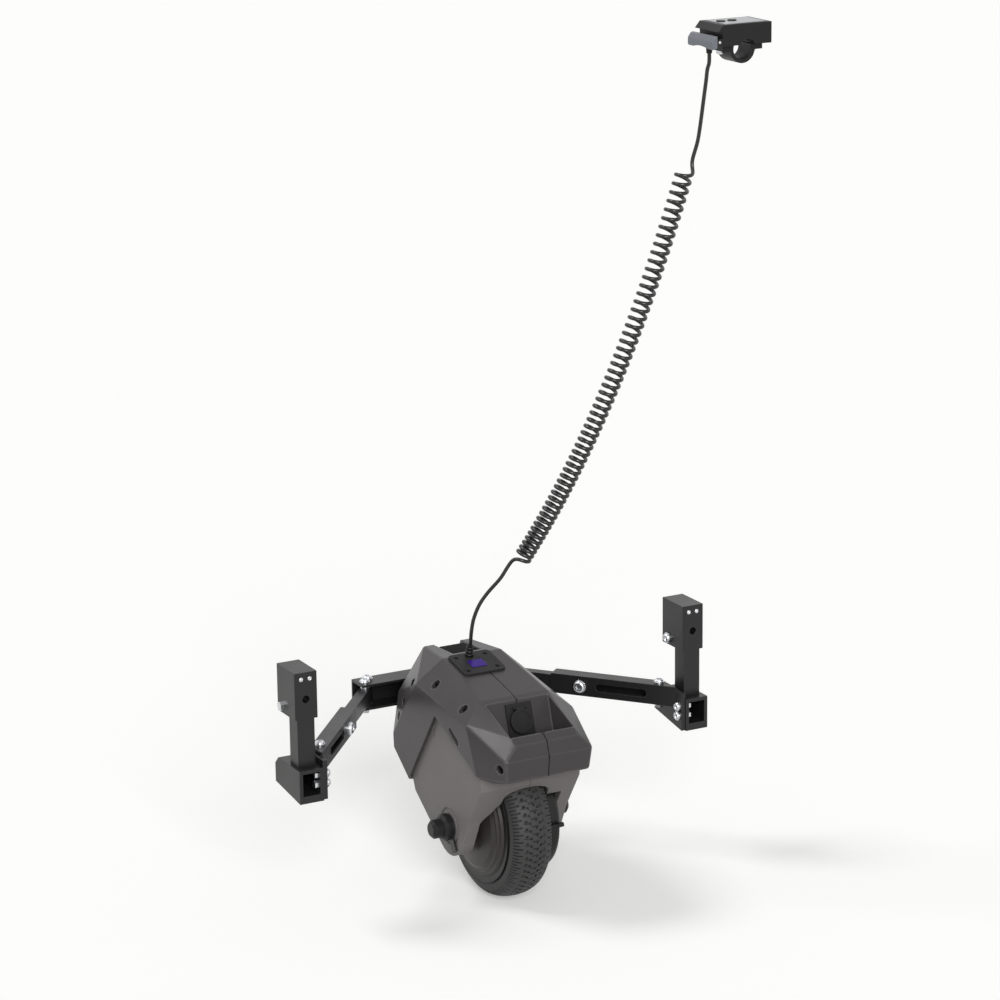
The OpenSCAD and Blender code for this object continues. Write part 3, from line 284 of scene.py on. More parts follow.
def add(tree, kind, inputs=None, **settings):
    """Adds a node; settings are its own properties, inputs its sockets as values or (node, output) links."""
    made = tree.nodes.new(kind)
    for key, value in settings.items():
        setattr(made, key, value)
    for key, value in (inputs or {}).items():
        if isinstance(value, tuple) and isinstance(value[0], bpy.types.Node):
            tree.links.new(value[0].outputs[value[1]], made.inputs[key])
        else:
            made.inputs[key].default_value = value
    return made


# Sockets of the Mix node when it mixes colours
MIX_A, MIX_B, MIX_OUT = 6, 7, 2

# Dot product of the flat and the rounded normal where an edge begins to be painted lighter, a painted
# highlight that also stands for rubbed wear, and where it fully is
HIGHLIGHT_AND_WEAR_BEGINS, HIGHLIGHT_AND_WEAR_FULL = 0.995, 0.95

# How dark the painted shade of a parting line is, and the share of its colour that is left at the bottom of
# a groove under painted shade
SEAM_SHADE = 0.85
GROOVE_SHADE_TONE = 0.12


def opaque(colour):
    """A colour with full alpha."""
    return (*colour, 1)


def surface(name, colour, roughness, grain_mm, edge_mm, highlight_and_wear_gain=1.25, cloud_mm=45, cloud_share=0.06,
            rough_share=0.12, metallic=0.0, specular=0.25, groove=0.0, seam_mm=0.0):
    """A finish with its grain, slow clouds of tone and gloss, and edges that look rounded and are painted
    lighter, a painted highlight that also stands for rubbed wear.

    grain_mm is the size and the depth of the grain.
    groove is how much the tread's grooves are painted darker as painted shade, read from the mesh's own
    attribute.
    seam_mm is the width of the dark line, painted shade in the parting gap, where two halves meet at X 0.
    """
    made = bpy.data.materials.new(name)
    made.use_nodes = True
    tree = made.node_tree
    tree.nodes.clear()
    colour = Vector(colour)
    grain_size, grain_depth = grain_mm
    place = add(tree, "ShaderNodeTexCoord")
    grain = add(tree, "ShaderNodeTexNoise", {
        "Vector": (place, "Object"), "Scale": 1 / (grain_size * MM), "Detail": 2.0, "Roughness": 0.6})
    cloud = add(tree, "ShaderNodeTexNoise", {
        "Vector": (place, "Object"), "Scale": 1 / (cloud_mm * MM), "Detail": 4.0, "Roughness": 0.55})
    rounded = add(tree, "ShaderNodeBevel", {"Radius": edge_mm * MM}, samples=4)
    flat = add(tree, "ShaderNodeNewGeometry")
    turned = add(tree, "ShaderNodeVectorMath", {0: (rounded, "Normal"), 1: (flat, "Normal")},
                 operation="DOT_PRODUCT")
    edge = add(tree, "ShaderNodeMapRange", {
        "Value": (turned, "Value"), "From Min": HIGHLIGHT_AND_WEAR_BEGINS, "From Max": HIGHLIGHT_AND_WEAR_FULL})
    tone = add(tree, "ShaderNodeMix", {
        0: (cloud, "Fac"), MIX_A: opaque(colour * (1 - cloud_share)),
        MIX_B: opaque(colour * (1 + cloud_share))}, data_type="RGBA")
    # Edges painted lighter: a painted highlight that also stands for rubbed wear
    highlit_worn_edges = add(tree, "ShaderNodeMix", {
        0: (edge, "Result"), MIX_A: (tone, MIX_OUT), MIX_B: opaque(colour * highlight_and_wear_gain)}, data_type="RGBA")
    last = highlit_worn_edges
    if seam_mm:
        split = add(tree, "ShaderNodeSeparateXYZ", {"Vector": (place, "Object")})
        away = add(tree, "ShaderNodeMath", {0: (split, "X")}, operation="ABSOLUTE")
        # The two halves' edges at the seam get no painted highlight or wear
        clear = add(tree, "ShaderNodeMapRange", {
            "Value": (away, "Value"), "From Min": edge_mm * MM, "From Max": 1.3 * edge_mm * MM})
        highlit_worn_away_from_seam = add(tree, "ShaderNodeMath", {0: (edge, "Result"), 1: (clear, "Result")}, operation="MULTIPLY")
        tree.links.new(highlit_worn_away_from_seam.outputs["Value"], highlit_worn_edges.inputs[0])
        # A dark line painted where the halves meet: painted shade in the gap between them
        line = add(tree, "ShaderNodeMapRange", {
            "Value": (away, "Value"), "From Min": 0.4 * seam_mm * MM, "From Max": 0.6 * seam_mm * MM,
            "To Min": SEAM_SHADE, "To Max": 0.0})
        last = add(tree, "ShaderNodeMix", {
            0: (line, "Result"), MIX_A: (highlit_worn_edges, MIX_OUT), MIX_B: (0, 0, 0, 1)}, data_type="RGBA")
    # Groove bottoms painted darker: painted shade
    if groove:
        depth = add(tree, "ShaderNodeAttribute", attribute_name="groove")
        shade = add(tree, "ShaderNodeMapRange", {"Value": (depth, "Fac"), "To Max": groove})
        last = add(tree, "ShaderNodeMix", {
            0: (shade, "Result"), MIX_A: (highlit_worn_edges, MIX_OUT), MIX_B: opaque(colour * GROOVE_SHADE_TONE)},
            data_type="RGBA")
    gloss = add(tree, "ShaderNodeMapRange", {
        "Value": (cloud, "Fac"), "From Min": 0.3, "From Max": 0.7,
        "To Min": roughness * (1 - rough_share), "To Max": roughness * (1 + rough_share)})
    bump = add(tree, "ShaderNodeBump", {
        "Height": (grain, "Fac"), "Distance": grain_depth * MM, "Normal": (rounded, "Normal")})
    skin = add(tree, "ShaderNodeBsdfPrincipled", {
        "Base Color": (last, MIX_OUT), "Roughness": (gloss, "Result"), "Normal": (bump, "Normal"),
        "Metallic": metallic, "Specular IOR Level": specular})
    add(tree, "ShaderNodeOutputMaterial", {"Surface": (skin, "BSDF")})
    return made


def finish(nodes, material):
    """Gives solids of the frame a finish."""
    for name in nodes:
        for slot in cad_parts[name].material_slots:
            slot.material = material


def both(*names):
    """The left and the right node of each name."""
    return [f"{side}_{name}" for name in names for side in ("left", "right")]


def placed(name, data):
    """A new object of the scene."""
    made = bpy.data.objects.new(name, data)
    bpy.context.scene.collection.objects.link(made)
    return made


def new_piece(name, mesh, material):
    """A piece at the origin with its place in its mesh."""
    piece = placed(name, mesh)
    mesh.materials.clear()
    mesh.materials.append(material)
    return piece


def grown(name, mesh, tree, values, sharp_deg):
    """The plain mesh that a Geometry Nodes tree makes of a mesh, smooth but for its sharp edges."""
    seed = placed(name, mesh)
    modifier = seed.modifiers.new("Shape", "NODES")
    modifier.node_group = tree
    sockets = {item.name: item.identifier for item in tree.interface.items_tree if item.in_out == "INPUT"}
    for key, value in values.items():
        modifier[sockets[key]] = value
    bpy.context.view_layer.update()
    evaluated = seed.evaluated_get(bpy.context.evaluated_depsgraph_get())
    made = bpy.data.meshes.new_from_object(evaluated)
    made.name = name
    bpy.data.objects.remove(seed)
    smoothed(made, sharp_deg)
    return made


def smoothed(mesh, sharp_deg):
    """Shades a mesh smooth, with its edges past an angle kept sharp."""
    mesh.shade_smooth()
    mesh.set_sharp_from_angle(angle=math.radians(sharp_deg))
    mesh.update()


def new_tree(name, **inputs):
    """A Geometry Nodes tree with inputs of the given kinds, and its input node."""
    tree = bpy.data.node_groups.new(name, "GeometryNodeTree")
    tree.interface.new_socket("Geometry", in_out="INPUT", socket_type="NodeSocketGeometry")
    for words, kind in inputs.items():
        tree.interface.new_socket(words, in_out="INPUT", socket_type="NodeSocket" + kind)
    tree.interface.new_socket("Geometry", in_out="OUTPUT", socket_type="NodeSocketGeometry")
    return tree, add(tree, "NodeGroupInput")


def smooth_route(points, steps):
    """Points on a smooth curve through the route's own points, the last one left out."""
    points = [Vector(p) for p in points]
    ends = [2 * points[0] - points[1], *points, 2 * points[-1] - points[-2]]
    made = []
    for before, start, stop, after in zip(ends, ends[1:], ends[2:], ends[3:]):
        for i in range(steps):
            t = i / steps
            made.append(0.5 * (2 * start + (stop - before) * t
                               + (2 * before - 5 * start + 4 * stop - after) * t ** 2
                               + (3 * start - before - 3 * stop + after) * t ** 3))
    return made


def along_for(share, crowding):
    """Share of the middle line below a given share of the curls, which crowd at its low end."""
    along = share
    for _ in range(SOLVE_STEPS):
        gone = along + crowding * along * (1 - along) ** 2 - share
        along -= gone / (1 + crowding * (1 - along) * (1 - 3 * along))
    return along


def coil_route(lead):
    """Points of the curls, a helix about a hanging middle line, with the swings off both ends."""
    whole = 2 * math.pi * lead.curls
    count = lead.curls * lead.rings
    curls = []
    for i in range(count + 1):
        share = i / count
        curls.append(on_curl(lead, along_for(share, lead.crowding), 0.0, lead.low_side + whole * share))
    low_swing = swing(lead, slope(curls[0], curls[1], 0.0))
    high_swing = swing(lead, slope(curls[-2], curls[-1], 1.0))
    low = [on_curl(lead, 0.0, -rise, lead.low_side - turn) for turn, rise in low_swing]
    high = [on_curl(lead, 1.0, rise, lead.low_side + whole + turn) for turn, rise in high_swing]
    return low[::-1] + curls + high


def slope(start, stop, along):
    """Angle between a short piece of a curl and the plane square to the middle line."""
    return math.asin(abs((stop - start).normalized().dot(middle_line(along)[1])))


def middle_line(along):
    """A point on the middle line of the curls, and the direction of the line there."""
    point = (1 - along) ** 2 * COIL_LOW + 2 * along * (1 - along) * COIL_PULL + along ** 2 * COIL_HIGH
    ahead = (1 - along) * (COIL_PULL - COIL_LOW) + along * (COIL_HIGH - COIL_PULL)
    return point, ahead.normalized()


def curl_radius(lead):
    """Radius of the curls at the middle of the lead."""
    return (lead.curl_width - lead.diameter) / 2


def on_curl(lead, along, past, turn):
    """A point at the curls' radius round the middle line, or round its straight run past an end."""
    point, ahead = middle_line(along)
    side = (Vector((1, 0, 0)) - ahead.x * ahead).normalized()
    other = ahead.cross(side)
    return point + past * ahead + curl_radius(lead) * (math.cos(turn) * side + math.sin(turn) * other)


def swing(lead, start):
    """Turn and rise, step by step, of a lead that swings from its slope in a curl to straight ahead."""
    step = lead.swing / lead.swing_steps
    turn = rise = 0.0
    made = []
    for i in range(lead.swing_steps):
        share = (i + 0.5) / lead.swing_steps
        steep = start + (math.pi / 2 - start) * share * share * (3 - 2 * share)
        turn += math.cos(steep) * step / curl_radius(lead)
        rise += math.sin(steep) * step
        made.append((turn, rise))
    return made


def ring_faces(around, rings, first=0, capped=True):
    """Faces between rings of points, the first of which has the number first, with or without end caps."""
    faces = []
    for r in range(rings - 1):
        low, high = first + r * around, first + (r + 1) * around
        for k in range(around):
            after = (k + 1) % around
            faces.append((low + k, low + after, high + after, high + k))
    if capped:
        last = first + (rings - 1) * around
        faces.append(tuple(range(first, first + around)))
        faces.append(tuple(range(last, last + around)))
    return faces


def round_angles(count):
    """Evenly spaced angles round a circle."""
    return [2 * math.pi * k / count for k in range(count)]


def merged(mesh):
    """A mesh opened for editing, with its doubles merged."""
    edit = bmesh.new()
    edit.from_mesh(mesh)
    bmesh.ops.remove_doubles(edit, verts=edit.verts, dist=MERGE)
    return edit


def outward(mesh):
    """Merges a mesh's doubles and turns its faces outwards."""
    edit = merged(mesh)
    bmesh.ops.recalc_face_normals(edit, faces=edit.faces)
    edit.to_mesh(mesh)
    edit.free()


def closed_mesh(name, points, faces):
    """A mesh of points and faces, turned outwards."""
    mesh = bpy.data.meshes.new(name)
    mesh.from_pydata(points, [], faces)
    outward(mesh)
    return mesh


class POWERASSIST_OT_camera(bpy.types.Operator):
    """Sets up the camera at the picture's viewing angle"""

    bl_idname = "power_assist.camera"
    bl_label = "Camera"

    def execute(self, context):
        settings = context.scene.power_assist_camera
        data = bpy.data.cameras.new("camera")
        data.sensor_width = 36
        data.lens = settings.lens
        data.clip_end = 100
        camera = placed("camera", data)
        level = Euler((math.pi / 2 - settings.tilt, 0, settings.turn)).to_matrix()
        camera.matrix_world = (
            Matrix.Translation(settings.place) @ (level @ Matrix.Rotation(settings.roll, 3, "Z")).to_4x4())
        context.scene.camera = camera
        return {"FINISHED"}


class POWERASSIST_OT_control_lead(bpy.types.Operator):
    """Winds the curly lead from the housing to the hand control"""

    bl_idname = "power_assist.control_lead"
    bl_label = "Control lead"

    def execute(self, context):
        lead = context.scene.power_assist_lead
        path = self.path(lead)
        line = bpy.data.meshes.new("lead line")
        line.from_pydata(path, [(i, i + 1) for i in range(len(path) - 1)], [])
        # Polyurethane lead sheath, extruded: smooth, black, with a soft gloss
        sheath = surface("polyurethane_sheath", context.scene.power_assist_finish.sheath, 0.26,
                         grain_mm=(1.1, 0.02), edge_mm=0.2, rough_share=0.2, specular=0.5)
        mesh = grown("control_lead", line, self.tree(), {
            "Radius": lead.diameter / 2, "Sides": lead.sides, "Material": sheath}, sharp_deg=60)
        piece = new_piece("control_lead", mesh, sheath)
        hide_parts("lower_lead", "coil_cord", "upper_lead")
        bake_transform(piece)
        return {"FINISHED"}

    def path(self, lead):
        """Points of the whole lead, from the boot over the curls to the gland."""
        curls = coil_route(lead)
        low = curls[0] - END_RUN * middle_line(0.0)[1]
        high = curls[-1] + END_RUN * middle_line(1.0)[1]
        path = smooth_route([*LOWER_ROUTE, low, curls[0]], ROUTE_STEPS) + curls
        path += smooth_route([curls[-1], high, *UPPER_ROUTE], ROUTE_STEPS)[1:]
        path.append(Vector(UPPER_ROUTE[-1]))
        return path

    def tree(self):
        """Sweeps a ring along a line."""
        tree, start = new_tree("Lead tube", Radius="Float", Sides="Int", Material="Material")
        curve = add(tree, "GeometryNodeMeshToCurve", {"Mesh": (start, "Geometry")})
        ring = add(tree, "GeometryNodeCurvePrimitiveCircle", {
            "Resolution": (start, "Sides"), "Radius": (start, "Radius")})
        tube = add(tree, "GeometryNodeCurveToMesh", {
            "Curve": (curve, "Curve"), "Profile Curve": (ring, "Curve"), "Fill Caps": True})
        real = add(tree, "GeometryNodeRealizeInstances", {"Geometry": (tube, "Mesh")})
        painted = add(tree, "GeometryNodeSetMaterial", {
            "Geometry": (real, "Geometry"), "Material": (start, "Material")})
        add(tree, "NodeGroupOutput", {"Geometry": (painted, "Geometry")})
        return tree


def slot_depth(across_mm, around_mm, pitch_mm, slot):
    """1 at the bottom of a slot of the tread, 0 outside it."""
    middle, share, shift, half_long, half_wide = slot
    side = abs(across_mm - middle) - half_long
    end = abs(around_mm - share * pitch_mm - shift) - half_wide
    return max(0.0, min(1.0, 0.5 - max(side, end) / SLOT_SOFT_MM))


def tread_depth(across_mm, around_mm, pitch_mm):
    """Depth share of the tread's grooves at a place across and around one repeat."""
    found = [slot_depth(across_mm, around_mm, pitch_mm, slot) for slot in MIDDLE_SLOTS + SIDE_SLOTS]
    found += [slot_depth(-across_mm, around_mm, pitch_mm, slot) for slot in SIDE_SLOTS]
    return max(found)


class POWERASSIST_OT_tyre(bpy.types.Operator):
    """Builds the tyre from one repeat of its tread, set around the wheel"""

    bl_idname = "power_assist.tyre"
    bl_label = "Tyre"

    def execute(self, context):
        tyre = context.scene.power_assist_tyre
        turn = 2 * math.pi / tyre.repeats
        # Tyre rubber, moulded: matt black with clouds of dusty tone, painted dark in the grooves as painted
        # shade
        rubber = surface("tyre_rubber_moulded", context.scene.power_assist_finish.rubber, 0.62,
                         grain_mm=(0.9, 0.05), edge_mm=0.25, cloud_mm=18, cloud_share=0.18,
                         specular=0.45, groove=0.9)
        mesh = grown("tread_tyre", self.one_repeat(tyre, turn), self.tree(), {
            "Repeats": tyre.repeats, "Turn": turn, "Material": rubber}, sharp_deg=38)
        low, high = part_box("tyre")
        mesh.transform(Matrix.Translation((low + high) / 2))
        outward(mesh)
        piece = new_piece("tread_tyre", mesh, rubber)
        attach(piece, "drive_wheel")
        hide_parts("tyre")
        return {"FINISHED"}

    def one_repeat(self, tyre, turn):
        """One repeat of the tread, with the depth of its grooves as an attribute."""
        pitch_mm = turn * tyre.radius / MM
        section, across_mm = self.section(tyre)
        points, depths = [], []
        for step in TREAD_RINGS:
            angle = step * turn
            for (reach, x), away in zip(section, across_mm):
                depth = 0.0 if away is None else tread_depth(away, step * pitch_mm, pitch_mm)
                lowered = reach - depth * tyre.groove
                points.append((x, -lowered * math.sin(angle), lowered * math.cos(angle)))
                depths.append(depth)
        mesh = bpy.data.meshes.new("tread repeat")
        mesh.from_pydata(points, [], ring_faces(len(section), len(TREAD_RINGS), capped=False))
        mesh.attributes.new("groove", "FLOAT", "POINT").data.foreach_set("value", depths)
        return mesh

    def section(self, tyre):
        """Closed section as (radius, x) points, and each tread point's distance across the crown in mm."""
        crown_rise = tyre.radius - tyre.flange_radius
        crown = []
        for i in range(CROWN_COLUMNS + 1):
            lean = (2 * i / CROWN_COLUMNS - 1) * CROWN_CROWDING
            angle = CROWN_EDGE * math.sin(lean) / math.sin(CROWN_CROWDING)
            reach = tyre.flange_radius + crown_rise * math.cos(angle) ** tyre.crown_power
            crown.append((reach, tyre.half_width * math.sin(angle)))
        gone = [0.0]
        for a, b in zip(crown, crown[1:]):
            gone.append(gone[-1] + math.dist(a, b))
        corners = [(tyre.seat_radius, -tyre.seat_half), (tyre.flange_radius, -tyre.seat_half),
                   (tyre.flange_radius, -BEAD_SHARE * tyre.half_width)]
        points = corners + crown + [(reach, -x) for reach, x in reversed(corners)]
        bare = [None] * len(corners)
        across_mm = bare + [(length - gone[-1] / 2) / MM for length in gone] + bare
        return points, across_mm

    def tree(self):
        """Sets the repeat around the wheel's axle and joins the copies."""
        tree, start = new_tree("Tread around", Repeats="Int", Turn="Float", Material="Material")
        spots = add(tree, "GeometryNodePoints", {"Count": (start, "Repeats")})
        number = add(tree, "GeometryNodeInputIndex")
        turned = add(tree, "ShaderNodeMath", {0: (number, "Index"), 1: (start, "Turn")},
                     operation="MULTIPLY")
        euler = add(tree, "ShaderNodeCombineXYZ", {"X": (turned, "Value")})
        rotation = add(tree, "FunctionNodeEulerToRotation", {"Euler": (euler, "Vector")})
        copies = add(tree, "GeometryNodeInstanceOnPoints", {
            "Points": (spots, "Points"), "Instance": (start, "Geometry"),
            "Rotation": (rotation, "Rotation")})
        real = add(tree, "GeometryNodeRealizeInstances", {"Geometry": (copies, "Instances")})
        joined = add(tree, "GeometryNodeMergeByDistance", {
            "Geometry": (real, "Geometry"), "Distance": 2 * MERGE})
        painted = add(tree, "GeometryNodeSetMaterial", {
            "Geometry": (joined, "Geometry"), "Material": (start, "Material")})
        add(tree, "NodeGroupOutput", {"Geometry": (painted, "Geometry")})
        return tree


def softened(node, name, material, body, sharp_deg):
    """A merged copy of a faceted solid, shaded smoothly round its rounded edges, in the solid's stead."""
    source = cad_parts[node].data
    mesh = bpy.data.meshes.new(name)
    mesh.from_pydata([v.co for v in source.vertices], [], [tuple(p.vertices) for p in source.polygons])
    edit = merged(mesh)
    bmesh.ops.dissolve_limit(edit, angle_limit=FLAT_LIMIT, verts=edit.verts, edges=edit.edges)
    edit.to_mesh(mesh)
    edit.free()
    smoothed(mesh, sharp_deg)
    piece = new_piece(name, mesh, material)
    weighted = piece.modifiers.new("Even shading", "WEIGHTED_NORMAL")
    weighted.keep_sharp = True
    weighted.mode = "FACE_AREA"
    weighted.weight = 100
    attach(piece, body)
    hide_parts(node)
    return piece


def rounded_edges(piece, width):
    """Rounds the edges of a piece with live bevels."""
    bevel = piece.modifiers.new("Rounded edges", "BEVEL")
    bevel.width = width
    bevel.segments = 3
    bevel.harden_normals = True
    piece.data.shade_smooth()


class POWERASSIST_OT_housing(bpy.types.Operator):
    """Finishes the covers, the fork, the top plate and the fittings on them"""

    bl_idname = "power_assist.housing"
    bl_label = "Housing"

    def execute(self, context):
        colours = context.scene.power_assist_finish
        # ABS housing, moulded in a spark-eroded tool: dark satin grey, edges catch the light
        # The grain is drawn coarser than the real third of a millimetre, so that it shows
        # The parting line down the middle of the covers is painted dark as painted shade
        housing = surface("abs_housing_textured", colours.housing, 0.32, grain_mm=(0.9, 0.03),
                          edge_mm=2.2, highlight_and_wear_gain=2.6, specular=0.24, seam_mm=1.4)
        for node in both("cover"):
            softened(node, node + "_shell", housing, "drive_unit", 10)
        # Lighter ABS of the fork halves, the same grain with a drier face
        fork = surface("abs_fork_textured", colours.fork, 0.52, grain_mm=(0.9, 0.05), edge_mm=1.6)
        finish(both("fork"), fork)
        # ABS top plate, moulded: near black and matt
        plate = surface("abs_top_plate", colours.plate, 0.5, grain_mm=(0.7, 0.04), edge_mm=0.6,
                        highlight_and_wear_gain=1.8, specular=0.1)
        finish(["top_plate"], plate)
        # Glass-filled nylon of the small fittings, moulded: near black, half matt
        black = surface("nylon_fitting_black", colours.black, 0.42, grain_mm=(0.8, 0.03),
                        edge_mm=0.6, highlight_and_wear_gain=1.6)
        finish(["charge_socket", "socket_lid", "tyre_valve", *both("axle_cap")], black)
        # Glass-filled nylon left as it comes out of a blasted tool: dead matt black, as on sunk screws
        matt = surface("nylon_matt_black", colours.matt, 0.75, grain_mm=(0.8, 0.05),
                       edge_mm=0.6, highlight_and_wear_gain=1.8, specular=0.1)
        finish(["cover_screws", "plate_screws"], matt)
        self.docking_head(matt)
        # Dark liners in the fork slits: painted shade
        self.slit_liners(matt)
        # ABS insert of the oval recess: black with a finer grain than the housing
        insert = surface("abs_oval_insert", colours.insert, 0.4, grain_mm=(0.7, 0.03),
                         edge_mm=0.5, highlight_and_wear_gain=1.4, specular=0.1)
        self.oval_inserts(insert)
        self.boot(black)
        # Acrylic window, polished and tinted purple
        window = surface("acrylic_window_purple", colours.window, 0.3, grain_mm=(3.0, 0.005),
                         edge_mm=0.3, specular=0.1)
        finish(["status_window"], window)
        return {"FINISHED"}

    def docking_head(self, material):
        """The raised part of the tongue, which fills the notch in the nose up to the roof."""
        low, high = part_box("dock_tongue")
        points = [(x, y, z) for x in (low.x, high.x) for y, z in DOCK_OUTLINE]
        mesh = closed_mesh("docking_head", points, ring_faces(len(DOCK_OUTLINE), 2))
        piece = new_piece("docking_head", mesh, material)
        rounded_edges(piece, DOCK_ROUND)
        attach(piece, "drive_unit")

    def sunk_plates(self, name, part, place, ring, layers):
        """A mesh of one plate in each side of a part, from an outline and its layers' share and depth."""
        y, z = place
        points, faces = [], []
        for hand, face in ((-1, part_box("left_" + part)[0].x), (1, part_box("right_" + part)[1].x)):
            faces += ring_faces(len(ring), len(layers), first=len(points))
            for share, sunk in layers:
                points += [(face - hand * sunk, y + share * a, z + share * b) for a, b in ring]
        return closed_mesh(name, points, faces)

    def slit_liners(self, material):
        """A dark liner in the slit of each fork half, a painted shade."""
        half_y, half_z = SLIT_WIDE / 2, SLIT_LONG / 2
        corners = [(-half_y, -half_z), (half_y, -half_z), (half_y, half_z), (-half_y, half_z)]
        layers = ((1.0, SLIT_DEEP), (1.0, SLIT_SUNK))
        mesh = self.sunk_plates("slit_liners", "fork", SLIT_PLACE, corners, layers)
        piece = new_piece("slit_liners", mesh, material)
        rounded_edges(piece, SLIT_ROUND)
        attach(piece, "drive_unit")

    def oval_inserts(self, material):
        """A plain oval plate in each side's oval recess, with a sloping rim."""
        ring = []
        for end in (1, -1):
            for i in range(OVAL_ARC_STEPS + 1):
                angle = math.pi * i / OVAL_ARC_STEPS + (0 if end > 0 else math.pi)
                across = OVAL_RADIUS * math.cos(angle)
                along = end * OVAL_LENGTH / 2 + OVAL_RADIUS * math.sin(angle)
                ring.append((across * math.cos(OVAL_LEAN) - along * math.sin(OVAL_LEAN),
                             across * math.sin(OVAL_LEAN) + along * math.cos(OVAL_LEAN)))
        layers = ((1.0, OVAL_DEEP), (1.0, OVAL_SUNK), (OVAL_TOP_SHARE, OVAL_SUNK - OVAL_RISE))
        mesh = self.sunk_plates("oval_inserts", "cover", OVAL_PLACE, ring, layers)
        smoothed(mesh, 30)
        piece = new_piece("oval_inserts", mesh, material)
        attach(piece, "drive_unit")

    def boot(self, material):
        """Ribbed boot round the foot of the lead, turned from one profile."""
        tip = Vector(LOWER_ROUTE[0])
        up = (Vector(LOWER_ROUTE[1]) - tip).normalized()
        side = up.orthogonal().normalized()
        other = up.cross(side)
        points = []
        for i in range(BOOT_RINGS):
            share = i / (BOOT_RINGS - 1)
            ribbed = BOOT_RIBBED[0] < share < BOOT_RIBBED[1]
            rib = max(0.0, math.sin(2 * math.pi * BOOT_RIBS * share)) if ribbed else 0.0
            reach = BOOT_FOOT + (BOOT_TIP - BOOT_FOOT) * share + BOOT_RIB_HEIGHT * rib
            middle = tip + (share - 1) * BOOT_LENGTH * up
            for angle in round_angles(BOOT_AROUND):
                points.append(middle + reach * (math.cos(angle) * side + math.sin(angle) * other))
        mesh = closed_mesh("ribbed_boot", points, ring_faces(BOOT_AROUND, BOOT_RINGS))
        smoothed(mesh, 50)
        piece = new_piece("ribbed_boot", mesh, material)
        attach(piece, "drive_unit")
        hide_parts("cable_boot")


class POWERASSIST_OT_steelwork(bpy.types.Operator):
    """Finishes the crossbar, the arms and the hangers"""

    bl_idname = "power_assist.steelwork"
    bl_label = "Steelwork"

    def execute(self, context):
        colours = context.scene.power_assist_finish
        # Powder-coated steel: black satin with a fine orange peel, painted lighter at the edges as a painted
        # highlight that also stands for rubbed wear
        coat = surface("powder_coated_steel_black", colours.coat, 0.36, grain_mm=(1.4, 0.05),
                       edge_mm=0.9, highlight_and_wear_gain=2.2, specular=0.36)
        pairs = both("arm_bar", "arm_sleeve", "lower_bracket", "drop_tube", "frame_block", "torque_washer")
        finish(["cross_channel", "dock_tongue", *pairs], coat)
        # Zinc-plated steel: bright, faintly clouded metal
        zinc = surface("zinc_plated_steel", colours.zinc, 0.28, grain_mm=(0.6, 0.01),
                       edge_mm=0.4, highlight_and_wear_gain=1.1, cloud_mm=6, cloud_share=0.08, metallic=1.0)
        finish(["dock_pin", "channel_bolts", "arm_clamp_bolts", "bracket_bolts", "block_bolts", "set_screws",
                "clamp_screws", "lever_pin", "axle", "wheel_bearings"], zinc)
        return {"FINISHED"}


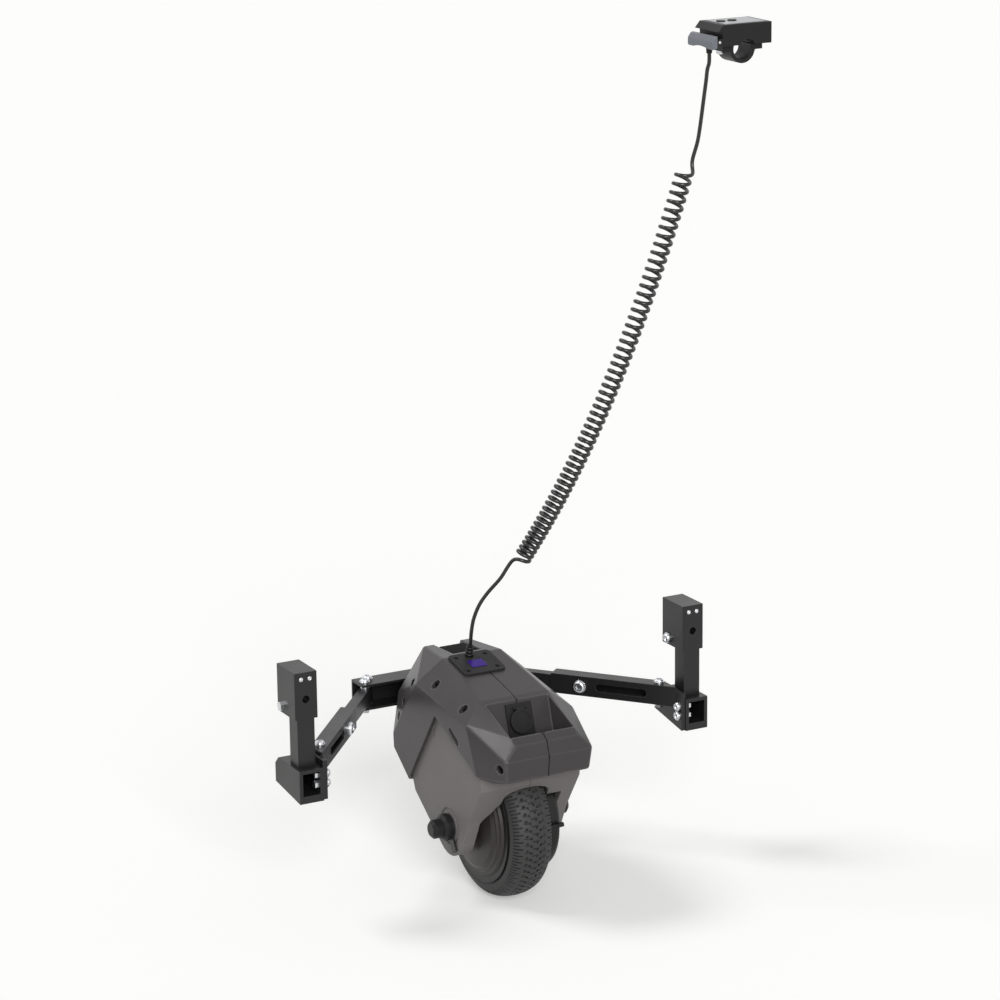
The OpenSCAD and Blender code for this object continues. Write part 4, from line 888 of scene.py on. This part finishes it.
class POWERASSIST_OT_fasteners(bpy.types.Operator):
    """Sets a domed head with a hex socket on every bolt and screw"""

    bl_idname = "power_assist.fasteners"
    bl_label = "Bolt and screw heads"

    def execute(self, context):
        head = self.head()
        tree = self.tree()
        zinc = bpy.data.materials["zinc_plated_steel"]
        black = bpy.data.materials["nylon_matt_black"]
        bolts = []
        for node in ("channel_bolts", "arm_clamp_bolts", "bracket_bolts", "block_bolts", "set_screws",
                     "clamp_screws"):
            bolts += self.ends(node, lambda middle: BOLTS_FACE - middle)
        screws = []
        for node in ("cover_screws", "plate_screws"):
            screws += self.ends(node, lambda middle: middle - UNIT_MIDDLE)
        self.set_out(tree, head, "bolt_heads", bolts, zinc, "zinc_steel", "frame")
        self.set_out(tree, head, "screw_heads", screws, black, "black_plastic", "drive_unit")
        bpy.data.objects.remove(head)
        return {"FINISHED"}

    def head(self):
        """One head of unit radius: a thin flange, a dome and a hex socket."""
        angles = round_angles(HEAD_AROUND)
        points = []
        for reach, height in HEAD_PROFILE:
            points += [(reach * math.cos(angle), reach * math.sin(angle), height) for angle in angles]
        half_side = math.pi / SOCKET_SIDES
        for height in SOCKET_HEIGHTS:
            for angle in angles:
                reach = SOCKET_FLAT / math.cos(angle % (2 * half_side) - half_side)
                points.append((reach * math.cos(angle), reach * math.sin(angle), height))
        rings = len(HEAD_PROFILE) + len(SOCKET_HEIGHTS)
        mesh = closed_mesh("head", points, ring_faces(HEAD_AROUND, rings))
        return placed("head", mesh)

    def tree(self):
        """Sets one head on each point, turned to the point's own aim."""
        tree, start = new_tree("Heads on ends", Head="Object", Material="Material")
        head = add(tree, "GeometryNodeObjectInfo", {"Object": (start, "Head"), "As Instance": True})
        aim = add(tree, "GeometryNodeInputNamedAttribute", {"Name": "aim"}, data_type="FLOAT_VECTOR")
        size = add(tree, "GeometryNodeInputNamedAttribute", {"Name": "size"}, data_type="FLOAT_VECTOR")
        turn = add(tree, "FunctionNodeAlignRotationToVector", {"Vector": (aim, "Attribute")}, axis="Z")
        heads = add(tree, "GeometryNodeInstanceOnPoints", {
            "Points": (start, "Geometry"), "Instance": (head, "Geometry"), "Rotation": (turn, "Rotation"),
            "Scale": (size, "Attribute")})
        real = add(tree, "GeometryNodeRealizeInstances", {"Geometry": (heads, "Instances")})
        painted = add(tree, "GeometryNodeSetMaterial", {
            "Geometry": (real, "Geometry"), "Material": (start, "Material")})
        add(tree, "NodeGroupOutput", {"Geometry": (painted, "Geometry")})
        return tree

    def ends(self, node, way):
        """Place, aim and radius of the flat end of each bolt in a node that looks the given way."""
        edit = merged(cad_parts[node].data)
        found, taken = [], set()
        for first in edit.faces:
            island, waiting = [], [first]
            while waiting:
                face = waiting.pop()
                if face not in taken:
                    taken.add(face)
                    island.append(face)
                    waiting += [other for edge in face.edges for other in edge.link_faces]
            if island:
                found.append(self.flat_end(island, way))
        edit.free()
        return found

    def flat_end(self, island, way):
        """Place, aim and radius of the large flat end of one bolt that looks most the given way."""
        flats = {}
        for face in island:
            flats.setdefault(tuple(round(c, 2) for c in face.normal), []).append(face)
        largest = max(self.area(group) for group in flats.values())
        corners = [v.co for face in island for v in face.verts]
        middle = sum(corners, Vector()) / len(corners)
        ends = [group for group in flats.values() if self.area(group) > END_SHARE * largest]
        best = max(ends, key=lambda group: group[0].normal.dot(way(middle)))
        aim = best[0].normal.normalized()
        centre = sum((f.calc_area() * f.calc_center_median() for f in best), Vector()) / self.area(best)
        rim = [v.co for f in best for v in f.verts]
        top = max(corner.dot(aim) for corner in rim)
        reach = max((corner - centre - aim * aim.dot(corner - centre)).length for corner in rim)
        return centre + aim * (top - centre.dot(aim)), aim, reach

    def area(self, faces):
        """Area of some faces together."""
        return sum(face.calc_area() for face in faces)

    def set_out(self, tree, head, name, ends, material, slot, body):
        """One piece with a head over each end, a little taller than the solid's own."""
        mesh = bpy.data.meshes.new(name)
        mesh.from_pydata([place - aim * HEAD_SUNK * reach for place, aim, reach in ends], [], [])
        aims = [c for _, aim, _ in ends for c in aim]
        sizes = [share * reach for _, _, reach in ends for share in (HEAD_WIDE, HEAD_WIDE, HEAD_TALL)]
        mesh.attributes.new("aim", "FLOAT_VECTOR", "POINT").data.foreach_set("vector", aims)
        mesh.attributes.new("size", "FLOAT_VECTOR", "POINT").data.foreach_set("vector", sizes)
        made = grown(name, mesh, tree, {"Head": head, "Material": material}, sharp_deg=40)
        piece = new_piece(name, made, material)
        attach(piece, body)


class POWERASSIST_OT_hub(bpy.types.Operator):
    """Finishes the motor hub and what lies inside the housing"""

    bl_idname = "power_assist.hub"
    bl_label = "Hub motor and inner parts"

    def execute(self, context):
        colours = context.scene.power_assist_finish
        # Painted aluminium casting: warm charcoal satin, turned smooth
        hub = surface("painted_aluminium_charcoal", colours.hub, 0.38, grain_mm=(1.0, 0.02),
                      edge_mm=0.8, highlight_and_wear_gain=1.3)
        finish(["left_hub_cover"], hub)
        # Black-painted aluminium of the rim and the right drum: darker, with the same turned face
        drum = surface("painted_aluminium_black", colours.drum, 0.34, grain_mm=(1.0, 0.02),
                       edge_mm=0.8, highlight_and_wear_gain=1.8)
        finish(["hub_drum", "right_hub_cover"], drum)
        # Solder-masked board, shrink-wrapped cells and enamelled copper, all hidden when closed
        board = surface("circuit_board_mask", colours.board, 0.4, grain_mm=(1.5, 0.05), edge_mm=0.3)
        finish(["control_board", "motor_controller"], board)
        wrap = surface("battery_shrink_wrap", colours.wrap, 0.25, grain_mm=(6.0, 0.15), edge_mm=1.0)
        finish(["battery_pack"], wrap)
        copper = surface("enamelled_copper", colours.copper, 0.35, grain_mm=(0.8, 0.2),
                         edge_mm=0.3, metallic=1.0)
        finish(["stator"], copper)
        return {"FINISHED"}


class POWERASSIST_OT_hand_control(bpy.types.Operator):
    """Finishes the hand control, its keys and the thumb lever"""

    bl_idname = "power_assist.hand_control"
    bl_label = "Hand control"

    def execute(self, context):
        colours = context.scene.power_assist_finish
        # Nylon case of the hand control, moulded: black satin
        case = surface("nylon_case_black", colours.black, 0.44, grain_mm=(0.8, 0.04),
                       edge_mm=0.8, highlight_and_wear_gain=1.5)
        finish(["control_base", "control_lid", "clamp_strap", "cable_gland", "power_key", "mode_key"], case)
        # Polyester panel foil: pale grey with a fine satin tooth
        foil = surface("polyester_panel_foil", colours.panel, 0.4, grain_mm=(0.5, 0.02),
                       edge_mm=0.2, cloud_share=0.03)
        finish(["control_panel"], foil)
        # ABS lever, moulded and polished by thumbs: blue grey, half gloss
        lever = surface("abs_lever_polished", colours.lever, 0.3, grain_mm=(1.2, 0.02),
                        edge_mm=0.8, highlight_and_wear_gain=1.3)
        finish(["thumb_lever"], lever)
        return {"FINISHED"}


class POWERASSIST_OT_stage(bpy.types.Operator):
    """Lays the pale floor and hangs the soft lamps"""

    bl_idname = "power_assist.stage"
    bl_label = "Stage"

    def execute(self, context):
        stage = context.scene.power_assist_stage
        context.scene.view_settings.view_transform = "Standard"
        self.floor(stage)
        self.lamp("key lamp", stage.key, stage.key_width, stage.key_aim)
        self.lamp("top lamp", stage.top, stage.top_width, stage.top_aim)
        self.sky(context, stage)
        return {"FINISHED"}

    def floor(self, stage):
        """A wide floor under the tyre, with a little glow of its own for the camera."""
        half = 30.0
        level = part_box("tyre")[0].z
        corners = [(-half, -half, level), (half, -half, level), (half, half, level), (-half, half, level)]
        sheet = bpy.data.meshes.new("floor")
        sheet.from_pydata(corners, [], [(0, 1, 2, 3)])
        floor = placed("floor", sheet)
        paint = bpy.data.materials.new("pale_floor")
        paint.use_nodes = True
        tree = paint.node_tree
        tree.nodes.clear()
        matt = add(tree, "ShaderNodeBsdfDiffuse", {"Color": opaque(stage.floor)})
        lift = add(tree, "ShaderNodeMath", {0: (self.seen(tree), "Value"), 1: stage.floor_glow},
                   operation="MULTIPLY")
        glow = add(tree, "ShaderNodeEmission", {"Strength": (lift, "Value")})
        both = add(tree, "ShaderNodeAddShader", {0: (matt, "BSDF"), 1: (glow, "Emission")})
        add(tree, "ShaderNodeOutputMaterial", {"Surface": (both, "Shader")})
        sheet.materials.append(paint)

    def sky(self, context, stage):
        """White all round, full for the camera and dimmed as a light."""
        world = bpy.data.worlds.new("studio")
        context.scene.world = world
        world.use_nodes = True
        tree = world.node_tree
        tree.nodes.clear()
        level = add(tree, "ShaderNodeMapRange", {
            "Value": (self.seen(tree), "Value"), "To Min": stage.sky, "To Max": 1.0})
        light = add(tree, "ShaderNodeBackground", {"Color": (1, 1, 1, 1), "Strength": (level, "Result")})
        add(tree, "ShaderNodeOutputWorld", {"Surface": (light, "Background")})

    def seen(self, tree):
        """1 for rays from the camera, and for those that metal and glass send on."""
        path = add(tree, "ShaderNodeLightPath")
        metal = add(tree, "ShaderNodeMath", {
            0: (path, "Is Camera Ray"), 1: (path, "Is Glossy Ray")}, operation="MAXIMUM")
        return add(tree, "ShaderNodeMath", {
            0: (metal, "Value"), 1: (path, "Is Transmission Ray")}, operation="MAXIMUM")

    def lamp(self, name, strength, soft, aim):
        """A wide, even lamp that shines from one side of the part."""
        data = bpy.data.lights.new(name, "SUN")
        data.energy = strength
        data.angle = soft
        lamp = placed(name, data)
        lamp.rotation_euler = (-Vector(aim)).to_track_quat("-Z", "Y").to_euler()


class POWERASSIST_PT_sidebar(bpy.types.Panel):
    """Lists the steps that dress the power assist"""

    bl_idname = "POWERASSIST_PT_sidebar"
    bl_label = "Power assist"
    bl_space_type = "VIEW_3D"
    bl_region_type = "UI"
    bl_category = "Power assist"

    def draw(self, context):
        for operator in OPERATORS:
            self.layout.operator(operator.bl_idname)
        for name, group in GROUPS.items():
            box = self.layout.box()
            box.label(text=group.__doc__)
            for key in group.__annotations__:
                box.prop(getattr(context.scene, name), key)


GROUPS = {
    "power_assist_camera": CameraSettings,
    "power_assist_lead": LeadSizes,
    "power_assist_tyre": TyreSizes,
    "power_assist_finish": FinishColours,
    "power_assist_stage": StageSettings,
}
OPERATORS = (
    POWERASSIST_OT_camera,
    POWERASSIST_OT_control_lead,
    POWERASSIST_OT_tyre,
    POWERASSIST_OT_housing,
    POWERASSIST_OT_steelwork,
    POWERASSIST_OT_fasteners,
    POWERASSIST_OT_hub,
    POWERASSIST_OT_hand_control,
    POWERASSIST_OT_stage,
)


def register():
    for name, group in GROUPS.items():
        bpy.utils.register_class(group)
        setattr(bpy.types.Scene, name, PointerProperty(type=group))
    for kind in (*OPERATORS, POWERASSIST_PT_sidebar):
        bpy.utils.register_class(kind)


def unregister():
    for kind in (POWERASSIST_PT_sidebar, *reversed(OPERATORS)):
        bpy.utils.unregister_class(kind)
    for name, group in GROUPS.items():
        delattr(bpy.types.Scene, name)
        bpy.utils.unregister_class(group)


def main():
    register()
    for operator in OPERATORS:
        group, name = operator.bl_idname.split(".")
        getattr(getattr(bpy.ops, group), name)()


if __name__ == "__main__":
    main()
